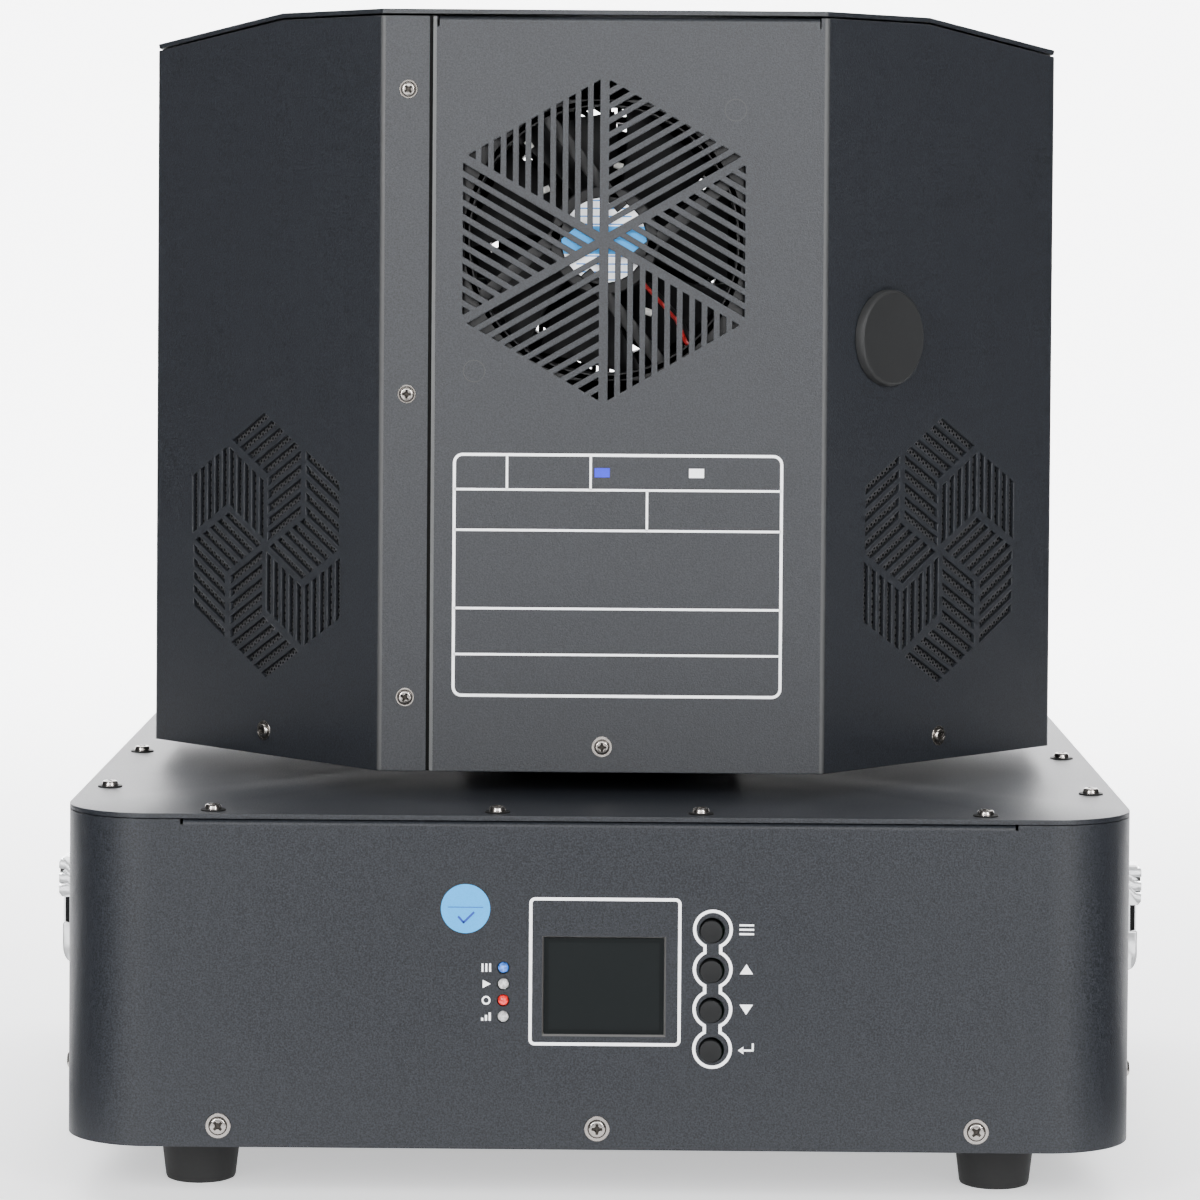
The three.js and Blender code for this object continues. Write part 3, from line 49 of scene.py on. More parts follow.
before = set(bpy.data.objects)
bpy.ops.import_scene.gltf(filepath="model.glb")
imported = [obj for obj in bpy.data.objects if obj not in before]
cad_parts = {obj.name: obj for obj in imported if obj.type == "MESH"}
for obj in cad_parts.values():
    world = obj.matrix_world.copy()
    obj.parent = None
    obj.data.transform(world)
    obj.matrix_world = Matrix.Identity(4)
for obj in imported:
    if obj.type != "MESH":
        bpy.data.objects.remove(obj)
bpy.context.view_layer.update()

MM = 0.001


def mm(*values):
    """Numbers, or rows of numbers, in metres where they are given in millimetres."""
    made = [mm(*value) if isinstance(value, (tuple, list)) else value * MM for value in values]
    return made[0] if len(made) == 1 else tuple(made)


QUARTER = math.pi / 2
BOTH_TURNS = (Matrix(), Matrix.Rotation(math.pi, 4, "Z"))
ENDS = ("front", "rear")
SIDES = ("right", "left")

# Levels and places that the frame gives
SHELL_LOW, SHELL_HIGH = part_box("base_body_shell")
LID_LOW, LID_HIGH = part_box("base_top_plate")
HEAD_LOW, HEAD_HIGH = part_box("head_shell_right")
COVER_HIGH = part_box("head_top_plate")[1]
DISPLAY_LOW, DISPLAY_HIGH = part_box("lcd_window")
BASE_HALF = SHELL_HIGH.x
HEAD_HALF_DEPTH = HEAD_HIGH.y
HEAD_HALF_WIDTH = COVER_HIGH.x
HEAD_TOP = COVER_HIGH.z

# Sheet sizes
SHEET = mm(1.5)
SEAT_GAP = mm(0.3)
BASE_CORNER = mm(28.5)
FOLD_RADIUS = mm(1.6)
FOLD_REACH = mm(12)
FOLD_HALF = mm(131.8)
FOLD_DROP = mm(0.05)
NOTCH_WIDTH = mm(0.9)
NOTCH_DEPTH = FOLD_DROP + FOLD_RADIUS
HEAD_FRONT_HALF = mm(72.7)
HEAD_SIDE_HALF = mm(36.8)
BEND_RADIUS = mm(2.2)
COVER_THICKNESS = mm(1.5)
WING_FOLD = mm(108.4)
WING_ANGLE = math.radians(10.55)
WING_LENGTH = (HEAD_HALF_WIDTH - WING_FOLD) / math.cos(WING_ANGLE)
SEAM_LEFT = mm(-57.2)
SEAM_RIGHT = mm(-56.2)
SEAM_BEND = mm(1.15)
FACET_DEPTH = HEAD_HALF_DEPTH - HEAD_SIDE_HALF
FACET_WIDTH = HEAD_HALF_WIDTH - HEAD_FRONT_HALF
FACET_ANGLE = math.atan2(FACET_DEPTH, FACET_WIDTH)
FACET_LENGTH = math.hypot(FACET_DEPTH, FACET_WIDTH)

# Sizes of fittings
PRINT_LIFT = mm(0.06)
KNUCKLE_LENGTH = mm(9)
KNUCKLE_CAP = mm(1.2)
DISPLAY_LIP = mm(2.1)
BUTTON_SHIFT = mm(-0.5, -0.65)
STUDS = mm((-58.1, 91.2), (-57.8, 47.0), (54.3, 92.4), (53.8, 46.3))
STUD_RADIUS = mm(3.7)
SOCKET_BARREL = 11.8
FAN_DUCT = 44
FAN_HALF = 46

ROUND = 48
FINE_ROUND = 72
SMALL_ROUND = 24


# Finishes


def calculation(operation, turned=False):
    """A method that puts its values through one calculating node."""

    def apply(self, *others):
        values = (*others, self) if turned else (self, *others)
        return self.calculate(operation, *values)

    return apply


class Number:
    """A value inside a finish, with which sums, products and tests can be written."""

    def __init__(self, tree, socket):
        self.tree = tree
        self.socket = socket

    def calculate(self, operation, *values, clamp=False):
        node = self.tree.nodes.new("ShaderNodeMath")
        node.operation = operation
        node.use_clamp = clamp
        for entry, value in zip(node.inputs, values):
            connect(self.tree, entry, value)
        return Number(self.tree, node.outputs[0])

    def share(self, low, high):
        """0 at low, 1 at high, and held there beyond them."""
        slope = 1 / (high - low)
        return self.calculate("MULTIPLY_ADD", self, slope, -low * slope, clamp=True)

    __add__ = calculation("ADD")
    __sub__ = calculation("SUBTRACT")
    __rsub__ = calculation("SUBTRACT", turned=True)
    __mul__ = calculation("MULTIPLY")
    __abs__ = calculation("ABSOLUTE")
    below = calculation("LESS_THAN")
    repeat = calculation("PINGPONG")
    root = calculation("SQRT")


def connect(tree, entry, value):
    """Links a value to an entry, or sets the entry to a number or a colour."""
    if isinstance(value, Number):
        value = value.socket
    if isinstance(value, bpy.types.NodeSocket):
        tree.links.new(value, entry)
    else:
        entry.default_value = (*value, 1) if isinstance(value, (tuple, list)) else value


class Finish:
    """One material and the nodes that feed its surface."""

    def __init__(self, name, colour, roughness, metallic=0.0, coat=0.0, specular=0.5):
        self.material = bpy.data.materials.new(name)
        self.material.use_nodes = True
        self.tree = self.material.node_tree
        self.surface = self.tree.nodes["Principled BSDF"]
        self.colour = tuple(colour)
        self.roughness = roughness
        self.feed("Base Color", self.colour)
        self.feed("Roughness", roughness)
        self.feed("Metallic", metallic)
        self.feed("Coat Weight", coat)
        self.feed("Specular IOR Level", specular)
        self.place = self.node("ShaderNodeTexCoord").outputs["Object"]

    def feed(self, entry, value):
        connect(self.tree, self.surface.inputs[entry], value)

    def node(self, kind, entries=(), **settings):
        made = self.tree.nodes.new(kind)
        for name, value in settings.items():
            setattr(made, name, value)
        for entry, value in entries:
            connect(self.tree, made.inputs[entry], value)
        return made

    def axes(self):
        split = self.node("ShaderNodeSeparateXYZ", [(0, self.place)])
        return [Number(self.tree, output) for output in split.outputs]

    def noise(self, grain, detail=2.0, place=None):
        """Soft noise with bumps of about the size grain."""
        entries = [("Scale", 1 / grain), ("Detail", detail), ("Vector", place or self.place)]
        return Number(self.tree, self.node("ShaderNodeTexNoise", entries).outputs["Fac"])

    def mixed(self, factor, low, high):
        """A colour between two colours, or between two sockets that carry a colour."""
        entries = [(0, factor), (6, low), (7, high)]
        return self.node("ShaderNodeMix", entries, data_type="RGBA").outputs[2]

    def shades(self, factor, dark, light):
        """The finish's own colour, between two brightness shares."""
        low, high = ([channel * share for channel in self.colour] for share in (dark, light))
        return self.mixed(factor, low, high)

    def look(self, colour, roughness=None, height=None, depth=0.0, edge_radius=0.0):
        """The material with this colour, roughness and bumps, its edges rounded to the eye."""
        self.feed("Base Color", colour)
        if roughness is not None:
            self.feed("Roughness", roughness)
        if height is not None:
            bump = self.node("ShaderNodeBump", [("Distance", depth), ("Height", height)])
            if edge_radius:
                rounded = self.node("ShaderNodeBevel", [("Radius", edge_radius)], samples=6)
                connect(self.tree, bump.inputs["Normal"], rounded.outputs[0])
            self.feed("Normal", bump.outputs[0])
        return self.material

    def worn(self, texture, dark, light, spread, depth, edge_radius=0.0):
        """The material whose brightness, roughness and bumps all follow one texture."""
        roughness = texture * spread + (self.roughness - spread / 2)
        return self.look(self.shades(texture, dark, light), roughness, texture, depth, edge_radius)


def powder_coat(name, sheet, edge_radius=0.0, gloss=None):
    """Satin powder coat with a fine grain."""
    gloss = gloss or sheet.coat_gloss
    finish = Finish(name, sheet.coat_colour, sheet.coat_roughness, specular=gloss)
    grain = finish.noise(sheet.grain, 1.0)
    mottle = finish.noise(sheet.grain * 1.3, 1.0).share(0.3, 0.7)
    patches = finish.noise(sheet.grain * 40)
    mottled, patched, bump_depth = 0.1, 0.03, sheet.grain * 0.15
    middle = sheet.coat_roughness - (mottled + patched) / 2
    roughness = mottle * mottled + patches * patched + middle
    return finish.look(finish.shades(mottle, 0.4, 1.6), roughness, grain, bump_depth, edge_radius)


def moulded(name, colour, roughness, grain=0.5, specular=0.5):
    """Moulded plastic or rubber with a faint grain, its size given in millimetres."""
    finish = Finish(name, colour, roughness, specular=specular)
    return finish.worn(finish.noise(mm(grain), 3.0), 0.85, 1.15, 0.14, mm(grain) * 0.02)


def plated(name, colour, roughness, edge_radius=0.0, metallic=1.0):
    """Bare or plated metal with faint cloudy wear."""
    finish = Finish(name, colour, roughness, metallic=metallic)
    return finish.worn(finish.noise(mm(6), 3.0), 0.9, 1.08, 0.1, mm(0.01), edge_radius)


def recess(name, colour=(0.05, 0.05, 0.05)):
    """Painted shade: dark metal put in the cross recess of a screw, and in other hollows where
    shade falls.
    """
    return plated(f"{name}_painted_shade", colour, 0.5)


def brushed(name, colour, roughness):
    """Steel brushed along Z."""
    finish = Finish(name, colour, roughness, metallic=1.0)
    x, y, z = finish.axes()
    stretched = finish.node("ShaderNodeCombineXYZ", enumerate((x, y, z * 0.03)))
    strokes = finish.noise(mm(0.35), 2.0, stretched.outputs[0])
    return finish.worn(strokes, 0.82, 1.1, 0.2, mm(0.01))


def heated_steel(name):
    """Steel of the heater chambers, tinted by heat."""
    finish = Finish(name, (0.5, 0.46, 0.42), 0.38, metallic=1.0)
    z = finish.axes()[2]
    cloud = finish.noise(mm(14), 3.0)
    tint = (z * 9 + cloud).share(2.4, 3.6)
    colour = finish.mixed(tint, (0.52, 0.5, 0.48), (0.34, 0.24, 0.16))
    return finish.look(colour, cloud * 0.2 + 0.28, cloud, mm(0.02))


def perforated(name):
    """Steel sheet with round holes in staggered rows, the holes painted near-black: painted shade
    for the dark through them.
    """
    finish = Finish(name, (0.1, 0.1, 0.105), 0.45, metallic=0.6)
    x, y, z = finish.axes()
    along = abs(x) * math.cos(FACET_ANGLE) - abs(y) * math.sin(FACET_ANGLE)
    pitch, hole_radius = mm(1.5, 0.5)
    row = pitch * math.sqrt(3)

    def holes(shift_along, shift_up):
        u = (along + shift_along).repeat(pitch / 2)
        v = (z + shift_up).repeat(row / 2)
        return (u * u + v * v).root().below(hole_radius)

    # The holes are painted, not cut: near-black painted shade
    hole = holes(0.0, 0.0) + holes(pitch / 2, row / 2)
    colour = finish.mixed(hole, (0.09, 0.09, 0.094), (0.003, 0.003, 0.003))
    return finish.look(colour, hole * 0.5 + 0.4, 1 - hole, mm(0.2))


def print_ink(name, colour):
    """Screen printed ink, slightly broken by the grain under it."""
    finish = Finish(name, colour, 0.55)
    grain = finish.noise(mm(0.35))
    broken = finish.shades(grain.share(0.25, 0.6), 0.88, 1.0)
    return finish.look(broken, None, grain, mm(0.01))


def display_glass(name):
    """Dark display window: a black border round a slightly lighter field."""
    finish = Finish(name, (0.006, 0.007, 0.007), 0.22, specular=0.06)
    centre = (DISPLAY_LOW + DISPLAY_HIGH) / 2
    half = (DISPLAY_HIGH - DISPLAY_LOW) / 2
    border = mm(4.2)
    x, _, z = finish.axes()
    field = abs(x - centre.x).below(half.x - border) * abs(z - centre.z).below(half.z - border)
    colour = finish.mixed(field, (0.0075, 0.0086, 0.0088), (0.0098, 0.0112, 0.0115))
    return finish.look(colour, finish.noise(mm(5), 3.0) * 0.12 + 0.14)


def lamp_lens(name, colour):
    """Clear lens of an indicator lamp, with its coloured core."""
    finish = Finish(name, colour, 0.12, coat=0.6)
    return finish.look(finish.shades(finish.noise(mm(0.9)).share(0.35, 0.65), 0.45, 1.15))


def fan_label(name):
    """Round fan label: a blue band across a white field, with thin ruled lines."""
    finish = Finish(name, (0.8, 0.82, 0.84), 0.4)
    x, _, z = finish.axes()
    height = abs(z - centre_of("fan_frame_front").z)
    ruled = height.repeat(mm(1.3)).below(mm(0.22)) * abs(x).below(mm(9))
    white = finish.mixed(ruled, (0.9, 0.92, 0.94), (0.0, 0.2, 0.6))
    return finish.look(finish.mixed(height.below(mm(4.6)), white, (0.0, 0.27, 0.68)))


def circuit_board(name):
    """Green board with lighter copper lines under the lacquer."""
    finish = Finish(name, (0.01, 0.09, 0.035), 0.35, coat=0.3)
    x, _, z = finish.axes()
    width = mm(0.2)
    lines = x.repeat(mm(1.2)).below(width) + z.repeat(mm(2)).below(width)
    return finish.look(finish.mixed(lines, (0.008, 0.07, 0.028), (0.03, 0.16, 0.06)))


def studio_paper(name, colour, glow=0.0):
    """Matt paper or cloth, lit from behind where a glow is given."""
    finish = Finish(name, colour, 0.9)
    finish.feed("Emission Color", finish.colour)
    finish.feed("Emission Strength", glow)
    return finish.look(finish.shades(finish.noise(0.4), 0.985, 1.0))


# Outlines and parts


def circle_points(radius, steps=SMALL_ROUND, x=0.0, y=0.0):
    angles = [i * (2 * math.pi / steps) for i in range(steps)]
    return [(x + radius * math.cos(a), y + radius * math.sin(a)) for a in angles]


def arc_points(x, y, radius, start, end, steps):
    angles = [start + (end - start) * i / steps for i in range(steps + 1)]
    return [(x + radius * math.cos(a), y + radius * math.sin(a)) for a in angles]


def rounded_points(width, height, radius, x=0.0, y=0.0, steps=6):
    across = width / 2 - radius
    up = height / 2 - radius
    points = []
    for quarter, (side, rise) in enumerate(((1, 1), (-1, 1), (-1, -1), (1, -1))):
        start = quarter * QUARTER
        centre = (x + side * across, y + rise * up)
        points += arc_points(*centre, radius, start, start + QUARTER, steps)
    return points


def box_points(left, low, right, high):
    return [(left, low), (right, low), (right, high), (left, high)]


def face_out(part):
    bmesh.ops.recalc_face_normals(part, faces=part.faces[:])
    return part


def shift(part, corners, x=0.0, y=0.0, z=0.0):
    bmesh.ops.translate(part, verts=corners, vec=(x, y, z))


def swapped(part, rows):
    """The part with its axes swapped by the rows, and its faces turned out again."""
    bmesh.ops.transform(part, matrix=Matrix(rows).to_4x4(), verts=part.verts[:])
    return face_out(part)


def corners_of(grown):
    return [item for item in grown["geom"] if isinstance(item, bmesh.types.BMVert)]


def closed_ring(part, points, level):
    """The edges of a closed outline at a level."""
    corners = [part.verts.new((x, y, level)) for x, y in points]
    return [part.edges.new((corners[i - 1], corners[i])) for i in range(len(corners))]


def fill(part, edges):
    bmesh.ops.triangle_fill(part, use_beauty=True, use_dissolve=False, edges=edges)


def plate_part(outer, low, high, holes=(), edge=0.0, segments=2):
    """A flat plate between two levels, with holes and, where edge is given, a soft upper rim."""
    part = bmesh.new()
    rings = [closed_ring(part, points, low) for points in (outer, *holes)]
    if holes:
        fill(part, [line for ring in rings for line in ring])
    else:
        part.faces.new([line.verts[1] for line in rings[0]])
    grown = bmesh.ops.extrude_face_region(part, geom=part.faces[:], use_keep_orig=True)
    shift(part, corners_of(grown), z=high - low)
    face_out(part)
    if edge:
        soften(part, rim_lines(part, high), edge, segments)
    return part


def rim_lines(part, *levels):
    """The sharp edges that lie flat on one of the levels."""

    def is_rim(line, level):
        flat = all(abs(corner.co.z - level) < 1e-7 for corner in line.verts)
        return flat and len(line.link_faces) == 2 and line.calc_face_angle() > 0.7

    return [line for line in part.edges if any(is_rim(line, level) for level in levels)]


def soften(part, edges, width, segments=2):
    shape = {"offset_type": "OFFSET", "profile": 0.5, "affect": "EDGES"}
    shape |= {"clamp_overlap": True, "material": -1}
    bmesh.ops.bevel(part, geom=edges, offset=width, segments=segments, **shape)


def turned_part(profile, steps=ROUND, closed=False):
    """A profile of (radius, height) turned round the Z axis."""
    part = bmesh.new()
    corners = [part.verts.new((r, 0, z)) for r, z in profile]
    edges = [part.edges.new(pair) for pair in zip(corners, corners[1:])]
    if closed:
        edges.append(part.edges.new((corners[-1], corners[0])))
    axis = {"cent": (0, 0, 0), "axis": (0, 0, 1), "angle": 2 * math.pi}
    bmesh.ops.spin(part, geom=corners + edges, steps=steps, use_merge=True, **axis)
    bmesh.ops.remove_doubles(part, verts=part.verts[:], dist=1e-6)
    return face_out(part)


def rod_part(radius, low, high, edge=0.0, steps=SMALL_ROUND):
    rim = edge or radius * 0.02
    profile = [(0, low), (radius, low), (radius, high - rim), (radius - rim, high), (0, high)]
    return turned_part(profile, steps)


def block_part(low, high, edge=0.0, segments=2):
    part = plate_part(box_points(*low[:2], *high[:2]), low[2], high[2])
    if edge:
        soften(part, part.edges[:], edge, segments)
    return part


def wire_part(path, radius, sides=12):
    """A round wire along a path of points."""
    curve = bpy.data.curves.new("wire", "CURVE")
    curve.dimensions = "3D"
    curve.bevel_depth = radius
    curve.bevel_resolution = sides // 4
    curve.use_fill_caps = True
    line = curve.splines.new("POLY")
    line.points.add(len(path) - 1)
    for point, place in zip(line.points, path):
        point.co = (*place, 1)
    holder = link("wire", curve)
    bpy.context.view_layer.update()
    drawn = holder.evaluated_get(bpy.context.evaluated_depsgraph_get())
    mesh = bpy.data.meshes.new_from_object(drawn)
    part = bmesh.new()
    part.from_mesh(mesh)
    bmesh.ops.remove_doubles(part, verts=part.verts[:], dist=1e-7)
    bpy.data.objects.remove(holder)
    bpy.data.curves.remove(curve)
    bpy.data.meshes.remove(mesh)
    return face_out(part)


def bent_points(points, radius, steps=8):
    """An open path in space whose inner corners are rounded."""
    path = [Vector(points[0])]
    for before, corner, after in zip(points, points[1:], points[2:]):
        corner = Vector(corner)
        start = (Vector(before) - corner).normalized()
        end = (Vector(after) - corner).normalized()
        reach = radius / math.tan(start.angle(end) / 2)
        for i in range(steps + 1):
            t = i / steps
            near = corner + start * reach * (1 - t)
            path.append(near.lerp(corner + end * reach * t, t))
    path.append(Vector(points[-1]))
    return path


def recess_place(angle, radius):
    """Where a corner of the round rim goes so that the rim becomes a cross."""
    arm = round(angle / QUARTER) * QUARTER
    lean = math.degrees(angle - arm)
    shape = {0: (1.0, 0.0), 15: (0.94, 0.26), 30: (0.6, 0.26), 45: (0.38, 0.38)}
    along, aside = shape[min(shape, key=lambda step: abs(step - abs(lean)))]
    aside = math.copysign(aside, lean)
    cosine, sine = math.cos(arm), math.sin(arm)
    return radius * (along * cosine - aside * sine), radius * (along * sine + aside * cosine)


# Rings of a screw's crown: shares of its radius and of its height
CROWN_RINGS = ((0.84, 0.9), (0.93, 0.68), (0.98, 0.38), (1.0, 0.0))


def screw_part(head_radius, head_height, washer_radius=0.0, washer_height=0.0):
    """A rounded screw head, on a washer where one is given. Material index 1, painted shade, is
    its cross and a thin ring under the head.
    """
    part = bmesh.new()
    top = washer_height + head_height
    bmesh.ops.create_circle(part, cap_ends=True, radius=head_radius * 0.7, segments=SMALL_ROUND)
    shift(part, part.verts[:], z=top)
    crown = part.faces[:][0]
    rim = part.edges[:]
    for share, level in CROWN_RINGS:
        grown = bmesh.ops.extrude_edge_only(part, edges=rim)
        for corner in corners_of(grown):
            flat = corner.co.xy.normalized() * head_radius * share
            corner.co = (*flat, washer_height + head_height * level)
        lines = (item for item in grown["geom"] if isinstance(item, bmesh.types.BMEdge))
        rim = [line for line in lines if line.is_boundary]
    bmesh.ops.inset_region(part, faces=[crown], thickness=head_radius * 0.05)
    for corner in crown.verts:
        angle = math.atan2(corner.co.y, corner.co.x)
        corner.co.x, corner.co.y = recess_place(angle, head_radius * 0.64)
    sunk = bmesh.ops.extrude_discrete_faces(part, faces=[crown])["faces"][0]
    floor = sunk.verts[:]
    bmesh.ops.scale(part, verts=floor, vec=(0.55, 0.55, 1))
    shift(part, floor, z=-head_height * 0.75)
    # The sunk cross takes index 1, painted shade
    for corner in floor:
        for face in corner.link_faces:
            face.material_index = 1
    if washer_radius:
        soft = washer_height * 0.35
        under = (head_radius * 0.9, washer_height)
        rim = [(washer_radius - soft, washer_height), (washer_radius, washer_height - soft)]
        add_mesh(part, turned_part([under, *rim, (washer_radius, 0)], SMALL_ROUND))
        # A thin ring on the washer round the head's foot takes index 1: a painted shadow between
        # head and washer
        inner = circle_points(head_radius * 0.96)
        outer = circle_points(head_radius * 1.1)
        seat = plate_part(outer, washer_height, washer_height * 1.08, [inner])
        for face in seat.faces:
            face.material_index = 1
        add_mesh(part, seat)
    return face_out(part)


def add_mesh(whole, part, place=None):
    if place is not None:
        bmesh.ops.transform(part, matrix=place, verts=part.verts[:])
    mesh = as_mesh("part", part)
    whole.from_mesh(mesh)
    bpy.data.meshes.remove(mesh)


def as_mesh(name, part, finishes=()):
    mesh = bpy.data.meshes.new(name)
    part.to_mesh(mesh)
    part.free()
    for finish in finishes:
        mesh.materials.append(finish)
    return mesh


def link(name, data):
    obj = bpy.data.objects.new(name, data)
    bpy.context.scene.collection.objects.link(obj)
    return obj


def on_wall(normal, origin):
    """The place of a wall: x to the right as seen from outside, y up, z out."""
    out = Vector(normal).normalized()
    right = Vector((0, 0, 1)).cross(out)
    return Matrix.Translation(origin) @ Matrix((right, (0, 0, 1), out)).transposed().to_4x4()


def at(x, y, z=0.0, turn=0.0):
    return Matrix.Translation((x, y, z)) @ Matrix.Rotation(turn, 4, "Z")


def centre_of(node):
    return sum(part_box(node), Vector()) / 2


BASE_FRONT = on_wall((0, -1, 0), (0, -BASE_HALF, 0))
BASE_BACK = on_wall((0, 1, 0), (0, BASE_HALF, 0))
BASE_RIGHT = on_wall((1, 0, 0), (BASE_HALF, 0, 0))
BASE_LEFT = on_wall((-1, 0, 0), (-BASE_HALF, 0, 0))
LID_TOP = at(0, 0, LID_HIGH.z)
HEAD_FRONT = on_wall((0, -1, 0), (0, -HEAD_HALF_DEPTH, 0))
FACET_OUT = (math.sin(FACET_ANGLE), -math.cos(FACET_ANGLE), 0)
FACET_RIGHT = on_wall(FACET_OUT, (HEAD_FRONT_HALF, -HEAD_HALF_DEPTH, 0))
FACET_LEFT = on_wall((-FACET_OUT[0], FACET_OUT[1], 0), (-HEAD_FRONT_HALF, -HEAD_HALF_DEPTH, 0))
WING_RIGHT = at(WING_FOLD, 0, HEAD_TOP) @ Matrix.Rotation(WING_ANGLE, 4, "Y")
LYING = Matrix.Rotation(QUARTER, 4, "X")


class Piece:
    """A finished piece that is put together from parts, each with one of the piece's finishes."""

    def __init__(self):
        self.whole = bmesh.new()
        self.finishes = []

    def add(self, part, place, *finishes):
        """Faces of the part take the finish at their own material index."""
        for finish in finishes:
            if finish not in self.finishes:
                self.finishes.append(finish)
        for face in part.faces:
            face.material_index = self.finishes.index(finishes[face.material_index])
        add_mesh(self.whole, part, place)
        return self

    def done(self, name, body, replaces=(), slot=None, crease=32):
        limit = math.radians(crease)
        for face in self.whole.faces:
            face.smooth = True
        for line in self.whole.edges:
            line.smooth = len(line.link_faces) == 2 and line.calc_face_angle(math.pi) < limit
        obj = link(name, as_mesh(name, self.whole, self.finishes))
        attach(obj, body)
        if replaces:
            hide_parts(*replaces)


def both_sides(name):
    return [f"{name}_{side}" for side in SIDES]


def dress(nodes, finish):
    for name in nodes:
        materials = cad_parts[name].data.materials
        materials.clear()
        materials.append(finish)


# Settings


def length_field(name, description, default):
    words = {"name": name, "description": description, "default": default * MM}
    return FloatProperty(**words, unit="LENGTH", precision=5)


def colour_field(name, description, default):
    words = {"name": name, "description": description, "default": default}
    return FloatVectorProperty(**words, subtype="COLOR", min=0, max=1)


def strength_field(name, description, default, **limits):
    return FloatProperty(name=name, description=description, default=default, min=0, **limits)


class SparkSheetSettings(bpy.types.PropertyGroup):
    """Coated sheet of the base and the head."""

    coat_colour: colour_field("Coat colour", "Colour of the powder coat", (0.0105, 0.0122, 0.0158))
    coat_roughness: strength_field("Coat roughness", "How dull the powder coat is", 0.46, max=1)
    coat_gloss: strength_field("Coat gloss", "How strongly the coat mirrors light", 0.5, max=1)
    base_gloss: strength_field(
        "Base gloss", "How strongly the coat of the base mirrors light", 0.34, max=1
    )
    grain: length_field("Grain", "Size of the grain of the powder coat", 0.42)
    edge_radius: length_field("Edge radius", "Roundness of the edges of the sheet", 0.55)


class SparkControlSettings(bpy.types.PropertyGroup):
    """Display, buttons, lamps and print."""

    line: length_field("Line width", "Width of the printed lines", 1.0)
    print_colour: colour_field(
        "Print colour", "Colour of the printed lines and symbols", (0.97, 0.98, 1.0)
    )
    sticker_colour: colour_field(
        "Sticker colour", "Colour of the round check sticker", (0.0, 0.3, 0.72)
    )


class SparkScrewSettings(bpy.types.PropertyGroup):
    """Screws of the base and the head."""

    head: length_field("Head diameter", "Diameter of the screw heads", 5.5)
    washer: length_field("Washer diameter", "Diameter of the washers under the screw heads", 8.1)
    stand: length_field("Stand", "How far a screw stands out of the sheet", 1.15)
    side_stand: length_field("Side stand", "How far a screw stands out of the side walls", 2.0)
    lid_stand: length_field("Lid stand", "How far a screw stands out of the lid", 2.1)


class SparkStageSettings(bpy.types.PropertyGroup):
    """Camera, floor and lights."""

    camera_place: FloatVectorProperty(
        name="Camera place",
        description="Where the camera stands",
        subtype="TRANSLATION",
        unit="LENGTH",
        default=(0.0063, -1.5355, 0.3103),
    )
    lens: FloatProperty(
        name="Lens", description="Focal length of the camera in millimetres", default=129.76, min=1
    )
    floor_colour: colour_field("Floor colour", "Colour of the studio floor", (0.86, 0.86, 0.87))
    floor_glow: strength_field("Floor glow", "How strongly the paper is lit from behind", 0.85)
    light: strength_field("Light", "Brightness of all lamps together", 1.0)
    floor_steps: IntProperty(
        name="Curve steps",
        description="Steps of the curve between floor and backdrop",
        default=24,
        min=4,
    )


# Base pieces


class SPARK_OT_feet(bpy.types.Operator):
    """Four tapered rubber feet, each with its sunk screw"""

    bl_idname = "spark.feet"
    bl_label = "Rubber feet"

    def execute(self, context):
        rubber = moulded("foot_rubber", (0.009, 0.0092, 0.0092), 0.72, 1.2, 0.4)
        steel = plated("foot_screw_steel", (0.5, 0.5, 0.52), 0.35)
        shade = recess("foot")
        bore, depth = 4.5, 5
        for where in ("front_left", "front_right", "rear_left", "rear_right"):
            node = f"foot_{where}"
            low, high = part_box(node)
            top = high.z / MM
            radius = (high.x - low.x) / 2 / MM
            shoulder, bottom = radius + 0.9, radius - 1.1
            profile = [(0, depth), (bore, depth), (bore, 0.6), (bore + 0.6, 0), (bottom - 1.2, 0)]
            profile += [(bottom - 0.35, 0.35), (bottom, 1.2), (shoulder, top - 0.6)]
            profile += [(shoulder - 0.4, top), (0, top)]
            centre = centre_of(node)
            place = at(centre.x, centre.y)
            foot = Piece().add(turned_part(mm(*profile)), place, rubber)
            under = place @ at(0, 0, mm(depth)) @ Matrix.Rotation(math.pi, 4, "X")
            foot.add(screw_part(*mm(3.4, 1.6)), under, steel, shade)
            foot.done(f"rubber_foot_{where}", "base", [node], "foot_rubber")
        return {"FINISHED"}


def fold_part(length):
    """The folded top edge of a wall, drawn along X with the wall's top joint at y = 0, z out."""
    rise = NOTCH_DEPTH - FOLD_DROP
    bend = (-FOLD_RADIUS, rise - FOLD_RADIUS)
    outer = arc_points(*bend, FOLD_RADIUS, 0, QUARTER, 8)
    inner = arc_points(*bend, FOLD_RADIUS - SHEET, 0, QUARTER, 8)
    end = [(-FOLD_REACH, rise), (-FOLD_REACH, rise - SHEET)]
    profile = [(0, 0), *outer, *end, *inner[::-1], (-SHEET, 0)]
    part = plate_part(profile, -length / 2, length / 2)
    return swapped(part, ((0, 0, 1), (0, 1, 0), (1, 0, 0)))


def wall_hole(node, radius, steps=SMALL_ROUND, side=1, slip=(0, 0)):
    """A round hole before a node. In the back wall, which is drawn from behind, side is -1."""
    centre = centre_of(node)
    return circle_points(mm(radius), steps, side * centre.x + slip[0], centre.z + slip[1])


def stud_ring():
    inner = circle_points(STUD_RADIUS - mm(0.3))
    return plate_part(circle_points(STUD_RADIUS), 0, mm(0.04), [inner])


